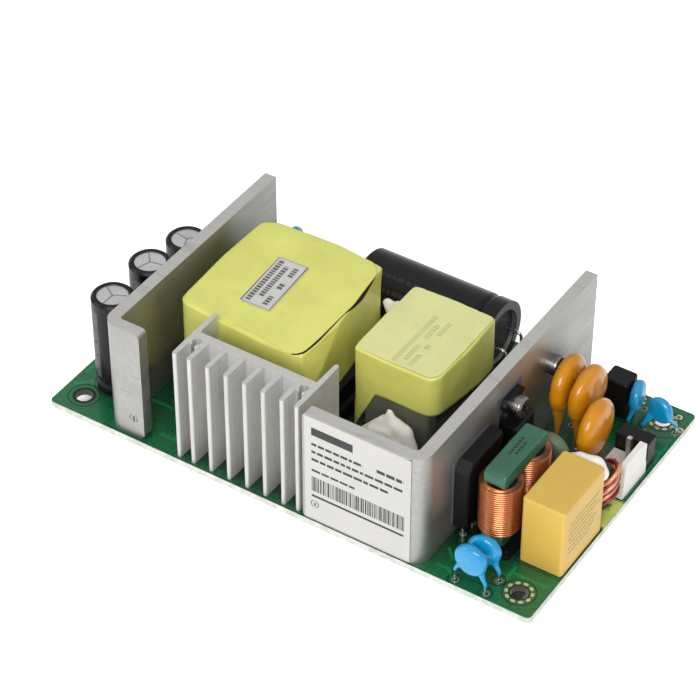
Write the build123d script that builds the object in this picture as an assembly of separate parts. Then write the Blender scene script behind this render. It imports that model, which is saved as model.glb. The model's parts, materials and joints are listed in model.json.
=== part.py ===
from build123d import *
import os
from math import cos, pi, radians, sin

os.makedirs("parts", exist_ok=True)

# Lengths are in millimetres, angles in degrees. X runs along the board, Y across it, Z up.
# The origin is the centre of the four mounting holes, on the underside of the board.

# Board
board_l = 127.0
board_w = 76.2
board_t = 1.6
board_corner_r = 1.2
mount_hole_inset = 5.715
mount_hole_r = 2.0

# Leads, pins and their joints
lead_gap = 0.15
lead_out = 1.3
joint_h = 0.9
joint_r = 0.7
slot_bead = 0.8
thin_lead_r = 0.35
thick_lead_r = 0.5
seat_gap = 0.2

# Bent plate heatsinks
sink_h = 30.5
plate_t = 3.0
bend_in_r = 0.6
tab_l = 5.0
tab_out = 2.3
tab_gap = 0.2
tab_inset = 10.0
outlet_front = 1.1
outlet_l = 64.3
outlet_flange_l = 10.2
inlet_front = 0.2
inlet_l = 74.5
inlet_edge = 27.0
flange_gap = 1.2
inlet_bend_in_r = 1.2
flange_corner_r = 1.2

# Finned heatsink
fin_count = 8
fin_pitch = 4.84
end_fin_pitch = 3.85
fin_root_t = 1.4
fin_tip_t = 1.1
fin_depth = 7.2
rear_fin_depth = 7.2
web_t = 2.0
fin_front = 0.7
comb_left = 35.3
pin_slot_r = 1.05
pin_slot_wall = 0.75
pin_slot_mouth = 1.0
sink_pin_l = 7.0

# Output capacitors
out_cap_r = 5.0
out_cap_h = 26.2
last_cap_h = 23.4
out_cap_pitch = 14.3
out_cap_edge = 9.7
out_cap_front = 13.6
out_cap_lead_pitch = 5.0
out_cap_gap = 1.4
sleeve_t = 0.25
sleeve_lip = 1.1
groove_depth = 0.5
groove_h = 2.6

# Bulk capacitor
bulk_r = 9.0
bulk_l = 36.2
bulk_side_gap = 16.1
bulk_lip = 1.8
bulk_groove = 4.2
bulk_lead_pitch = 7.5
bulk_lead_reach = 3.2
bulk_bend_r = 1.2
bulk_gap = 3.2

# Main transformer
main_w = 33.0
main_d = 36.0
main_h = 27.8
main_core_d = 22.0
main_leg_t = 4.4
main_yoke_t = 5.0
main_post_r = 5.6
main_pin_count = 5
main_pin_pitch = 5.0
main_side_gap = 4.8
main_front_gap = 0.8
tape_t = 0.5
tape_gap = 0.15
bobbin_t = 1.0
core_lift = 4.0

# Power factor choke
pfc_w = 21.8
pfc_d = 26.3
pfc_h = 25.8
pfc_core_d = 17.0
pfc_leg_t = 3.8
pfc_yoke_t = 4.2
pfc_post_r = 4.6
pfc_pin_count = 4
pfc_pin_pitch = 5.0
pfc_side_gap = 7.6
pfc_back_gap = 2.7
pfc_skirt_h = 15.0
pfc_corner_w = 6.0
pfc_skirt_depth = 3.0
pfc_skirt_side = 2.5
pin_r = 0.4

# Input heatsink position and its power parts
inlet_side_gap = 5.5
device_side_gap = 0.5
pad_t = 0.3
tab_metal_t = 1.3
device_w = 10.0
small_device_w = 8.4
device_t = 4.2
device_h = 9.2
device_tab_h = 6.4
device_hole_r = 1.75
device_lead_pitch = 2.54
screw_r = 1.5
screw_head_r = 2.6
screw_head_t = 1.8
screw_slot_l = 3.0
screw_slot_w = 0.7
washer_t = 0.7
washer_r = 2.4
screw_gap = 0.1
washer_split = 0.5
nut_flats = 5.4
nut_t = 2.3
screw_end = 0.8
mosfet_front = 35.8
mosfet_hole_h = 21.4
mosfet_notch_r = 1.3
diode_front = 54.8
diode_hole_h = 18.7
rectifier_fin_count = 3
rectifier_hole_h = 17.4
output_diode_front = 54.0
output_diode_hole_h = 16.0
bridge_w = 14.6
bridge_h = 18.0
bridge_t = 3.5
bridge_front = 12.8
bridge_lift = 3.2
bridge_chamfer = 2.2
bridge_lead_pitch = 3.8

# Common-mode choke
cm_side = 9.5
cm_front = 22.9
cm_leg_pitch = 11.8
cm_bar_w = 5.4
cm_bar_l = 18.8
cm_bar_h = 4.0
cm_h = 22.2
cm_leg_r = 2.5
cm_tube_t = 0.9
cm_winding_r = 4.85
cm_winding_h = 13.0
cm_turns = 17
cm_wire_depth = 0.14
cm_base_w = 10.0
cm_base_over = 1.2
cm_corner_r = 1.6

# X capacitor
xcap_w = 10.4
xcap_d = 17.8
xcap_h = 18.6
xcap_gap = 1.85
xcap_front = 14.1
xcap_lead_pitch = 15.0
xcap_corner_r = 0.8

# Disc parts
ydisc_r = 4.0
ydisc_t = 3.0
ydisc_pitch = 7.5
front_disc_front = 1.6
second_disc_front = 6.4
front_disc_side = 2.0
second_disc_side = 2.5
front_disc_lift = 7.9
second_disc_lift = 7.2
rear_disc_gap = 0.3
rear_disc_shift = 0.7
rear_disc_lift = 6.5
corner_disc_edge = 4.65
corner_disc_share = 0.4785
corner_disc_turn = 27.8
corner_disc_lift = 6.3
outlet_disc_gap = 0.6
outlet_disc_back = 7.2
outlet_disc_lift = 9.6
varistor_r = 7.0
varistor_t = 3.8
varistor_pitch = 7.5
varistor_spacing = 5.4
varistor_shift = 0.7
varistor_side = 4.7
varistor_y = 54.3
varistor_lift = 15.4
last_varistor_step = 5.8
last_varistor_back = 6.5
last_varistor_lift = 13.0
thermistor_r = 4.9
thermistor_t = 4.0
thermistor_lift = 10.8
thermistor_side = 9.9
thermistor_gap = 3.7
thermistor_pitch = 6.0
leg_h = 1.6
leg_r = 0.75

# Fuse, black part and mains header
fuse_l = 8.2
fuse_w = 4.1
fuse_h = 7.8
fuse_edge = 1.0
fuse_pitch = 5.08
relay_l = 6.2
relay_w = 5.6
relay_h = 10.0
relay_x = 13.2
relay_pitch = 3.6
header_w = 8.1
header_l = 10.8
header_base_h = 3.6
header_wall_h = 10.0
header_wall_t = 1.3
header_edge = 0.9
header_front = 42.3
header_pin_pitch = 7.8
header_pin_w = 1.1
header_pin_top = 10.4
small_gap = 0.4

# Output header, behind the output heatsink
outhead_pins = 4
outhead_pitch = 3.96
outhead_edge = 1.6
outhead_front = 48.3

# Wound rod choke by the inlet
rod_r = 2.0
rod_h = 12.0
rod_wire_r = 0.8
rod_turns = 6
rod_edge = 4.4
rod_gap = 0.4

# Adhesive mounds
glue_front_share = 0.569
glue_front_h = 17.4
glue_front_lean = 2.4
glue_side_gap = 1.2
glue_mid_gap = 0.5
glue_mid_h = 14.6
glue_mid_lean = 0.8
glue_back_h = 6.2
glue_back_d = 4.0
glue_back_r = 2.4
glue_back_left = 1.6
glue_back_right = 0.9

top = board_t
front = -board_w / 2
left = -board_l / 2
right = board_l / 2
back = board_w / 2

lead_holes = []
slot_holes = []


def block(x0, x1, y0, y1, z0, z1):
    """A box between two corners."""
    size = Box(x1 - x0, y1 - y0, z1 - z0)
    return Pos((x0 + x1) / 2, (y0 + y1) / 2, (z0 + z1) / 2) * size


def rod(x, y, z0, z1, r):
    """An upright cylinder."""
    return Pos(x, y, (z0 + z1) / 2) * Cylinder(r, z1 - z0)


def lead(x, y, z1, r):
    """A straight lead that passes through a hole of its own in the board."""
    lead_holes.append((x, y, r))
    return rod(x, y, -lead_out, z1, r)


def spun(points):
    """A solid turned about Z from a closed outline of radius and height pairs."""
    outline = Polyline(*[(r, 0, z) for r, z in points], close=True)
    return revolve(make_face(outline), Axis.Z)


def save(name, shapes):
    """Writes one named piece, or a set of like pieces."""
    solids = []
    for shape in shapes:
        solids.extend(shape.solids())
    for solid in solids:
        solid.label = name
    export_step(Compound(solids) if len(solids) > 1 else solids[0], "parts/" + name + ".step")


def rounded_block(x0, x1, y0, y1, z0, z1, side_r, top_r):
    """A box with rounded upright edges and a rounded top."""
    body = block(x0, x1, y0, y1, z0, z1)
    body = fillet(body.edges().filter_by(Axis.Z), side_r)
    return fillet(body.faces().sort_by(Axis.Z)[-1].edges(), top_r)


# Bent plate heatsinks


def bent_sink(x_web, web_side, flange_side, y_front, length, flange_l, in_r):
    """A plate along Y with a bent flange at its front end.

    web_side is the plate's lower X face; the flange runs towards flange_side (-1 or 1).
    """
    x0, x1 = web_side, web_side + plate_t
    if flange_side > 0:
        f0, f1 = x0, x0 + flange_l
        outer = (x0, y_front)
        inner = (x1, y_front + plate_t)
    else:
        f0, f1 = x1 - flange_l, x1
        outer = (x1, y_front)
        inner = (x0, y_front + plate_t)
    plan = Rectangle(plate_t, length)
    plan = Pos((x0 + x1) / 2, y_front + length / 2) * plan
    plan += Pos((f0 + f1) / 2, y_front + plate_t / 2) * Rectangle(f1 - f0, plate_t)
    plan = fillet(plan.vertices().sort_by_distance((outer[0], outer[1], 0))[0], in_r + plate_t)
    plan = fillet(plan.vertices().sort_by_distance((inner[0], inner[1], 0))[0], in_r)
    body = Pos(0, 0, top) * extrude(plan, sink_h)
    end_x = f1 if flange_side > 0 else f0
    ends = body.edges().filter_by(Axis.Y).filter_by(
        lambda e: abs(e.center().X - end_x) < 0.01 and e.center().Y < y_front + plate_t
    )
    body = fillet(ends, flange_corner_r)
    for y in (y_front + tab_inset, y_front + length - tab_inset):
        body += block(x0, x1, y - tab_l / 2, y + tab_l / 2, -tab_out, top)
        slot_holes.append(((x0 + x1) / 2, y, plate_t, tab_l))
    return body


out_cap_x = left + out_cap_edge
outlet_x0 = out_cap_x + out_cap_r + out_cap_gap
outlet_x1 = outlet_x0 + plate_t
outlet_y0 = front + outlet_front
outlet = bent_sink(outlet_x0, outlet_x0, 1, outlet_y0, outlet_l, outlet_flange_l, bend_in_r)

# The row between the two plates: its gaps open and close together when the board's length changes
inlet_x1 = right - inlet_edge
inlet_x0 = inlet_x1 - plate_t
inlet_y0 = front + inlet_front
device_room = pad_t + tab_metal_t + nut_t + screw_end + device_side_gap
row_spare = inlet_x0 - outlet_x1 - main_w - pfc_w - device_room
row_scale = row_spare / (main_side_gap + pfc_side_gap + inlet_side_gap)
main_x0 = outlet_x1 + main_side_gap * row_scale
main_x1 = main_x0 + main_w
pfc_x0 = main_x1 + pfc_side_gap * row_scale
pfc_x1 = pfc_x0 + pfc_w

# Finned heatsink: one extruded section of a web, fins that taper to their tips and two screw slots

comb_x0 = left + comb_left
comb_y0 = front + fin_front
web_y0 = comb_y0 + fin_depth
web_y1 = web_y0 + web_t
comb_y1 = web_y1 + rear_fin_depth


def fin_places():
    """The middles of the fins: the two end channels are narrower than the rest."""
    places = [comb_x0 + fin_root_t / 2]
    for i in range(1, fin_count):
        step = end_fin_pitch if i in (1, fin_count - 1) else fin_pitch
        places.append(places[-1] + step)
    return places


def fin_plan(x, y_root, y_tip):
    """A fin's tapered outline with a rounded tip."""
    side = 1 if y_tip > y_root else -1
    half_root, half_tip = fin_root_t / 2, fin_tip_t / 2
    y_arc = y_tip - side * half_tip
    outline = [
        Line((x - half_root, y_root), (x - half_tip, y_arc)),
        ThreePointArc((x - half_tip, y_arc), (x, y_tip), (x + half_tip, y_arc)),
        Line((x + half_tip, y_arc), (x + half_root, y_root)),
        Line((x + half_root, y_root), (x - half_root, y_root)),
    ]
    return make_face(outline)


fins = fin_places()
comb_x1 = fins[-1] + fin_root_t / 2
inlet_flange_l = inlet_x1 - comb_x1 - flange_gap
inlet = bent_sink(inlet_x0, inlet_x0, -1, inlet_y0, inlet_l, inlet_flange_l, inlet_bend_in_r)
web_mid = (web_y0 + web_y1) / 2
section = Pos((comb_x0 + comb_x1) / 2, web_mid) * Rectangle(comb_x1 - comb_x0, web_t)
for x in fins:
    section += fin_plan(x, web_mid, comb_y0)
for x in (fins[0], fins[-1]):
    section += fin_plan(x, web_mid, comb_y1)
slot_x = [(fins[0] + fins[1]) / 2, (fins[-1] + fins[-2]) / 2]
slot_y = web_y0 - pin_slot_r
for x in slot_x:
    section += Pos(x, slot_y) * Circle(pin_slot_r + pin_slot_wall)
for x in slot_x:
    section -= Pos(x, slot_y) * Circle(pin_slot_r)
    section -= Pos(x, slot_y - pin_slot_r) * Rectangle(pin_slot_mouth, 2 * pin_slot_r)
comb = Pos(0, 0, top) * extrude(section, sink_h)
comb_pins = []
for x in slot_x:
    comb_pins.append(rod(x, slot_y, -tab_out, top + sink_pin_l, pin_slot_r))
    lead_holes.append((x, slot_y, pin_slot_r))

# Devices that are screwed to a heatsink

screw_set = {"screws": [], "washers": [], "nuts": [], "pads": [], "bodies": [], "tabs": [], "leads": []}
bridge_legs = []


def along(axis, sense, base):
    """Returns a placer that stands local Z on a wall: axis is X or Y, sense the way it faces."""
    if axis == "X":
        plane = Plane(origin=base, x_dir=(0, sense, 0), z_dir=(sense, 0, 0))
    else:
        plane = Plane(origin=base, x_dir=(-sense, 0, 0), z_dir=(0, sense, 0))
    return plane


def screw_stack(plane, part_t, wall_t, kind):
    """A screw through a part on a wall. The part fills local Z 0 to part_t, the wall lies below 0.

    kind is "near" (head over the part, nut behind), "far" (head behind, nut on the part),
    "tapped" (head over the part, thread in the wall) or "sunk" (flat head let into the part).
    Returns the hole to cut in the wall.
    """
    nut_side = part_t if kind == "far" else -wall_t - nut_t
    if kind == "far":
        head_z, turn = -wall_t, 180
        end = part_t + nut_t + screw_end
    else:
        head_z, turn = part_t, 0
        end = -wall_t - (screw_end if kind == "tapped" else nut_t + screw_end)
    if kind == "sunk":
        start = part_t - screw_head_t
        head = Pos(0, 0, part_t - screw_head_t / 2) * Cone(screw_r, screw_head_r, screw_head_t)
        head -= Pos(0, 0, part_t) * Box(2 * screw_head_r, 0.7, 1.2)
    else:
        start = head_z + (washer_t if turn == 0 else -washer_t)
        cap = Cylinder(screw_head_r, screw_head_t)
        cap = fillet(cap.edges().sort_by(Axis.Z)[-1], screw_head_t * 0.4)
        for spin in (0, 90):
            cap -= Rot(0, 0, spin) * Pos(0, 0, screw_head_t / 2) * Box(screw_slot_l, screw_slot_w, 1.4)
        head = Pos(0, 0, head_z) * Rot(turn, 0, 0) * Pos(0, 0, washer_t + screw_head_t / 2) * cap
        ring = Cylinder(washer_r, washer_t) - Cylinder(screw_r + screw_gap, washer_t)
        ring -= Pos(washer_r, 0, 0) * Box(2 * washer_r, washer_split, washer_t)
        ring = Pos(0, 0, head_z) * Rot(turn, 0, 0) * Pos(0, 0, washer_t / 2) * ring
        screw_set["washers"].append(plane * ring)
    low, high = sorted((start, end))
    shank = Pos(0, 0, (low + high) / 2) * Cylinder(screw_r, high - low)
    screw_set["screws"].append(plane * (head + shank))
    if kind == "tapped":
        return plane * (Pos(0, 0, -wall_t / 2) * Cylinder(screw_r, wall_t))
    nut = extrude(RegularPolygon(nut_flats / 2, 6, major_radius=False), nut_t)
    nut -= Pos(0, 0, nut_t / 2) * Cylinder(screw_r, nut_t)
    screw_set["nuts"].append(plane * (Pos(0, 0, nut_side) * nut))
    return plane * (Pos(0, 0, -wall_t / 2) * Cylinder(screw_r + screw_gap, wall_t))


def tab_device(axis, sense, base, wall_t, w, kind, moulded_tab=False):
    """A three-legged power part: tab on an insulating pad, moulded body below the screw.

    The tab is bare metal, or moulded in one with the body and notched at both sides.
    base is the point on the wall at the screw's axis. Returns the hole to cut in the wall.
    """
    plane = along(axis, sense, base)
    up = device_tab_h / 2
    tab = Pos(0, -device_h / 2, pad_t + tab_metal_t / 2)
    tab = tab * Box(w, device_h + device_tab_h, tab_metal_t)
    tab = chamfer(tab.edges().filter_by(Axis.Z).group_by(Axis.Y)[-1], 1.2)
    tab -= Cylinder(device_hole_r, 4 * tab_metal_t)
    body_t = device_t - tab_metal_t
    body = Pos(0, -up - device_h / 2, pad_t + tab_metal_t + body_t / 2)
    body = body * Box(w, device_h, body_t)
    body = chamfer(body.faces().sort_by(Axis.Z)[-1].edges(), 0.5)
    pad = Pos(0, -device_h / 2, pad_t / 2) * Box(w + 1.5, device_h + device_tab_h + 1.0, pad_t)
    pad -= Cylinder(device_hole_r, 4 * pad_t)
    if moulded_tab:
        for side in (-1, 1):
            tab -= Pos(side * w / 2, 0, 0) * Cylinder(mosfet_notch_r, 6 * tab_metal_t)
        body += tab
    else:
        screw_set["tabs"].append(plane * tab)
    screw_set["bodies"].append(plane * body)
    screw_set["pads"].append(plane * pad)
    leg_z = pad_t + tab_metal_t + 1.0
    body_low = base[2] - up - device_h
    for i in (-1, 0, 1):
        foot = plane.from_local_coords((i * device_lead_pitch, 0, leg_z))
        screw_set["leads"].append(lead(foot.X, foot.Y, body_low, thin_lead_r))
    return screw_stack(plane, pad_t + tab_metal_t, wall_t, kind)


mosfet_base = (inlet_x1, front + mosfet_front, top + mosfet_hole_h)
inlet -= tab_device("X", 1, mosfet_base, plate_t, small_device_w, "near", True)
diode_base = (inlet_x0, front + diode_front, top + diode_hole_h)
inlet -= tab_device("X", -1, diode_base, plate_t, device_w, "far")
rectifier_x = (fins[rectifier_fin_count - 1] + fins[rectifier_fin_count]) / 2
rectifier_base = (rectifier_x, web_y1, top + rectifier_hole_h)
comb -= tab_device("Y", 1, rectifier_base, web_t, device_w, "tapped")
output_base = (outlet_x0, front + output_diode_front, top + output_diode_hole_h)
outlet -= tab_device("X", -1, output_base, plate_t, device_w, "near")

# Bridge rectifier: a flat block with one cut corner and four legs in a row

bridge_y0 = front + bridge_front
bridge_y1 = bridge_y0 + bridge_w
bridge_x0 = inlet_x1 + pad_t
bridge_z0 = top + bridge_lift
bridge_hole = (inlet_x1, (bridge_y0 + bridge_y1) / 2, bridge_z0 + bridge_h * 0.6)
bridge_plane = along("X", 1, bridge_hole)
bridge_cut = screw_stack(bridge_plane, pad_t + bridge_t, plate_t, "sunk")
inlet -= bridge_cut
bridge = block(bridge_x0, bridge_x0 + bridge_t, bridge_y0, bridge_y1, bridge_z0, bridge_z0 + bridge_h)
bridge = chamfer(bridge.edges().filter_by(Axis.X).group_by(Axis.Z)[-1].sort_by(Axis.Y)[0], bridge_chamfer)
bridge = chamfer(bridge.faces().sort_by(Axis.X)[-1].edges(), 0.4)
bridge -= bridge_plane * Cylinder(device_hole_r, 3 * bridge_t)
seat = Cone(screw_r, screw_head_r, screw_head_t)
bridge -= bridge_plane * (Pos(0, 0, pad_t + bridge_t - screw_head_t / 2) * seat)
bridge_pad = block(inlet_x1, bridge_x0, bridge_y0, bridge_y1, bridge_z0, bridge_z0 + bridge_h)
bridge_pad -= bridge_plane * Cylinder(device_hole_r, 3 * bridge_t)
screw_set["pads"].append(bridge_pad)
for i in range(4):
    y = (bridge_y0 + bridge_y1) / 2 + (i - 1.5) * bridge_lead_pitch
    bridge_legs.append(lead(bridge_x0 + bridge_t / 2, y, bridge_z0, thick_lead_r))

# Round capacitors: a can with a crimped groove, in a shrunk sleeve that folds over its end


def can_wall(r, h, from_end):
    """The side of a can, from its sealed end up, with the crimped groove."""
    return [
        (r, 0),
        (r, from_end - 0.9),
        (r - groove_depth, from_end),
        (r, from_end + 0.9),
        (r, h),
    ]


def round_cap(r, h, groove, lip):
    """Returns the can and the sleeve of a round capacitor that stands on Z = 0."""
    inner = can_wall(r - sleeve_t, h - sleeve_t, groove)
    outer = can_wall(r, h, groove)
    can = spun([(0, 0)] + inner[:-1] + [(r - sleeve_t, h - sleeve_t), (0, h - sleeve_t)])
    edge_r = r - sleeve_t - lip
    ring = outer[:-1] + [(r, h - 0.5), (r - 0.5, h), (edge_r, h), (edge_r, h - sleeve_t)]
    sleeve = spun(ring + inner[::-1])
    return can, sleeve


out_cans, out_sleeves, out_leads = [], [], []
for i, height in enumerate((out_cap_h, out_cap_h, last_cap_h)):
    y = front + out_cap_front + i * out_cap_pitch
    can, sleeve = round_cap(out_cap_r, height, groove_h, sleeve_lip)
    place = Pos(out_cap_x, y, top + seat_gap)
    out_cans.append(place * can)
    out_sleeves.append(place * sleeve)
    for side in (-1, 1):
        y_lead = y + side * out_cap_lead_pitch / 2
        out_leads.append(lead(out_cap_x, y_lead, top + seat_gap, thin_lead_r))

# Bulk capacitor, lying on the board with its sealed end towards the input heatsink

main_y0 = comb_y1 + main_front_gap
main_y1 = main_y0 + main_d
bulk_y = main_y1 + bulk_gap + bulk_r
bulk_z = top + seat_gap + bulk_r
bulk_x1 = inlet_x0 - bulk_side_gap
can, sleeve = round_cap(bulk_r, bulk_l, bulk_groove, bulk_lip)
recess_r = bulk_r - sleeve_t - bulk_lip
bung_t = 2.0
recess_d = 1.0
can -= Pos(0, 0, (recess_d + bung_t) / 2) * Cylinder(recess_r, recess_d + bung_t)
foot_lip = Cylinder(bulk_r, sleeve_t) - Cylinder(recess_r, sleeve_t)
sleeve += Pos(0, 0, -sleeve_t / 2) * foot_lip
lay = Plane(origin=(bulk_x1 - sleeve_t, bulk_y, bulk_z), x_dir=(0, 1, 0), z_dir=(-1, 0, 0))
bulk_can = lay * can
bulk_sleeve = lay * sleeve
bung = Pos(0, 0, recess_d + bung_t / 2) * Cylinder(recess_r, bung_t)
bung_face = bulk_x1 - sleeve_t - recess_d
bulk_bung = lay * bung
bulk_leads = []
bulk_lead_x = bulk_x1 + bulk_lead_reach
for side in (-1, 1):
    y = bulk_y + side * bulk_lead_pitch / 2
    path = FilletPolyline(
        (bung_face, y, bulk_z), (bulk_lead_x, y, bulk_z), (bulk_lead_x, y, -lead_out), radius=bulk_bend_r
    )
    wire = sweep(Plane(origin=path @ 0, z_dir=path % 0) * Circle(pin_r), path=path)
    bulk_leads.append(wire)
    lead_holes.append((bulk_lead_x, y, pin_r))

# Wound parts: a ferrite pair round a bobbin, wrapped in tape


def wound_part(w, d, h, core_d, leg_t, yoke_t, post_r, pins, pitch):
    """Core pair, bobbin, winding, tape cap and pins, centred on X and Y, standing on Z = 0.

    The core's outer legs face -X and X. The bobbin's flanges reach forward and back, and its
    rails carry the pins.
    """
    inner_w = w - 2 * (tape_t + tape_gap)
    inner_d = d - 2 * (tape_t + tape_gap)
    z0 = core_lift
    z1 = h - tape_t - tape_gap
    mid = (z0 + z1) / 2
    window = inner_w / 2 - leg_t
    shell = block(-inner_w / 2, inner_w / 2, -core_d / 2, core_d / 2, z0, z1)
    shell = fillet(shell.edges().filter_by(Axis.Z), 1.0)
    gap = block(-window, window, -core_d / 2, core_d / 2, z0 + yoke_t, z1 - yoke_t)
    post = rod(0, 0, z0 + yoke_t, z1 - yoke_t, post_r)
    core = shell - gap + post
    cut = block(-w, w, -d, d, 0, mid)
    low_half = core & cut
    high_half = core - cut
    # Bobbin: a tube round the centre post, two flanges and two pin rails
    tube_r = post_r + tape_gap + bobbin_t
    spool_w = 2 * (window - tape_gap)
    flange_z0 = z0 + yoke_t + tape_gap
    flange_z1 = z1 - yoke_t - tape_gap
    low_flange = block(-spool_w / 2, spool_w / 2, -inner_d / 2, inner_d / 2, flange_z0, flange_z0 + bobbin_t)
    high_flange = Pos(0, 0, flange_z1 - flange_z0 - bobbin_t) * low_flange
    bobbin = rod(0, 0, flange_z0, flange_z1, tube_r) + low_flange + high_flange
    rail_in = core_d / 2 + tape_gap + 0.3
    rail_half = (pins - 1) * pitch / 2 + 2.0
    pin_y = (rail_in + inner_d / 2) / 2
    for side in (-1, 1):
        y0, y1 = sorted((side * rail_in, side * inner_d / 2))
        bobbin += block(-rail_half, rail_half, y0, y1, seat_gap, flange_z0)
    bobbin -= rod(0, 0, 0, h, post_r + tape_gap)
    winding_r = window - tape_gap - 0.35
    winding = rod(0, 0, flange_z0 + bobbin_t, flange_z1 - bobbin_t, winding_r)
    winding -= rod(0, 0, 0, h, tube_r)
    places = []
    for side in (-1, 1):
        for i in range(pins):
            places.append(((i - (pins - 1) / 2) * pitch, side * pin_y))
    for x, y in places:
        bobbin -= rod(x, y, 0, z0, pin_r)
    tape = block(-w / 2, w / 2, -d / 2, d / 2, z0 - 1.0, h)
    tape = fillet(tape.edges().filter_by(Axis.Z), 2.2)
    tape = fillet(tape.faces().sort_by(Axis.Z)[-1].edges(), 1.2)
    hollow = block(
        -w / 2 + tape_t, w / 2 - tape_t, -d / 2 + tape_t, d / 2 - tape_t, z0 - 1.0, h - tape_t
    )
    hollow = fillet(hollow.edges().filter_by(Axis.Z), 0.8)
    tape -= hollow
    return low_half, high_half, bobbin, winding, tape, places


def place_wound(name, cx, cy, turn, tape_cut, sizes):
    """Stands a wound part on the board, adds its pins and writes its pieces."""
    low_half, high_half, bobbin, winding, tape, places = wound_part(*sizes)
    if tape_cut is not None:
        tape -= tape_cut
    place = Pos(cx, cy, top) * Rot(0, 0, turn)
    pins = []
    for x, y in places:
        spot = (place * Pos(x, y, 0)).position
        pins.append(lead(spot.X, spot.Y, top + core_lift, pin_r))
    save(name + "_core", [place * low_half, place * high_half])
    save(name + "_bobbin", [place * bobbin])
    save(name + "_winding", [place * winding])
    save(name + "_tape", [place * tape])
    save(name + "_pins", pins)


main_x = (main_x0 + main_x1) / 2
main_y = (main_y0 + main_y1) / 2
main_sizes = (main_w, main_d, main_h, main_core_d, main_leg_t, main_yoke_t, main_post_r)
place_wound("main_transformer", main_x, main_y, 0, None, main_sizes + (main_pin_count, main_pin_pitch))

pfc_y1 = bulk_y - bulk_r - pfc_back_gap
pfc_y0 = pfc_y1 - pfc_d
pfc_x = (pfc_x0 + pfc_x1) / 2
pfc_y = (pfc_y0 + pfc_y1) / 2
# The front of the choke is its local -X side and the side by the input heatsink its local -Y.
# Its tape is cut short on both, down to a slanted end at the front's left corner.
half_l, half_w = pfc_d / 2, pfc_w / 2
front_cut = Polyline(
    (-half_l, half_w - 0.6, 0),
    (-half_l, half_w - pfc_corner_w, pfc_skirt_h),
    (-half_l, -half_w, pfc_skirt_h),
    (-half_l, -half_w, 0),
    close=True,
)
skirt_cut = Pos(-1, 0, 0) * extrude(make_face(front_cut), 3.5, dir=(1, 0, 0))
skirt_cut += block(-half_l, half_l - pfc_skirt_depth, -half_w - 1, -half_w + pfc_skirt_side, 0, pfc_skirt_h)
pfc_sizes = (pfc_d, pfc_w, pfc_h, pfc_core_d, pfc_leg_t, pfc_yoke_t, pfc_post_r)
place_wound("pfc_choke", pfc_x, pfc_y, 90, skirt_cut, pfc_sizes + (pfc_pin_count, pfc_pin_pitch))

# Common-mode choke: a closed core of two bars and two legs, on a bobbin with two windings

cm_x = inlet_x1 + cm_side
cm_y = front + cm_front
leg_ys = (cm_y - cm_leg_pitch / 2, cm_y + cm_leg_pitch / 2)
winding_z1 = top + cm_h - cm_bar_h
winding_z0 = winding_z1 - cm_winding_h
bar_z0 = winding_z0 - cm_bar_h
cm_core = None
for z in (bar_z0, winding_z1):
    bar = block(
        cm_x - cm_bar_w / 2, cm_x + cm_bar_w / 2, cm_y - cm_bar_l / 2, cm_y + cm_bar_l / 2, z, z + cm_bar_h
    )
    bar = fillet(bar.edges().filter_by(Axis.X), cm_corner_r)
    bar = fillet(bar.edges().filter_by(Axis.Y), 0.5)
    cm_core = bar if cm_core is None else cm_core + bar
for y in leg_ys:
    cm_core += rod(cm_x, y, winding_z0, winding_z1, cm_leg_r)
cm_bobbin = []
cm_windings = []
tube_r = cm_leg_r + cm_tube_t
turn_h = cm_winding_h / cm_turns
for y in leg_ys:
    tube = rod(cm_x, y, winding_z0, winding_z1, tube_r) - rod(cm_x, y, winding_z0, winding_z1, cm_leg_r)
    cm_bobbin.append(tube)
    outline = [(tube_r, 0)]
    for i in range(cm_turns):
        outline.append((cm_winding_r - cm_wire_depth, i * turn_h))
        outline.append((cm_winding_r, (i + 0.5) * turn_h))
    outline.append((cm_winding_r - cm_wire_depth, cm_winding_h))
    outline.append((tube_r, cm_winding_h))
    cm_windings.append(Pos(cm_x, y, winding_z0) * spun(outline))
base_l = cm_bar_l + 2 * cm_base_over
cm_base_z0 = top + seat_gap
cm_base = block(
    cm_x - cm_base_w / 2, cm_x + cm_base_w / 2, cm_y - base_l / 2, cm_y + base_l / 2, cm_base_z0, bar_z0
)
cm_base = fillet(cm_base.edges().filter_by(Axis.Z), 0.8)
cm_pins = []
for sx in (-1, 1):
    for sy in (-1, 1):
        px, py = cm_x + sx * (cm_base_w / 2 - 1.1), cm_y + sy * (base_l / 2 - 1.2)
        cm_base -= rod(px, py, 0, bar_z0, thin_lead_r)
        cm_pins.append(lead(px, py, bar_z0, thin_lead_r))

# X capacitor: a moulded box with a rounded rim

xcap_x0 = cm_x + cm_winding_r + xcap_gap
xcap_x1 = xcap_x0 + xcap_w
xcap_y0 = front + xcap_front
xcap_y1 = xcap_y0 + xcap_d
xcap = rounded_block(
    xcap_x0, xcap_x1, xcap_y0, xcap_y1, top + seat_gap, top + xcap_h, xcap_corner_r, xcap_corner_r * 0.6
)
xcap_leads = []
for side in (-1, 1):
    y = (xcap_y0 + xcap_y1) / 2 + side * xcap_lead_pitch / 2
    xcap_leads.append(lead((xcap_x0 + xcap_x1) / 2, y, top + seat_gap, pin_r))

# Disc parts: a coated disc on edge, whose coating runs a little way down both leads


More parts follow.
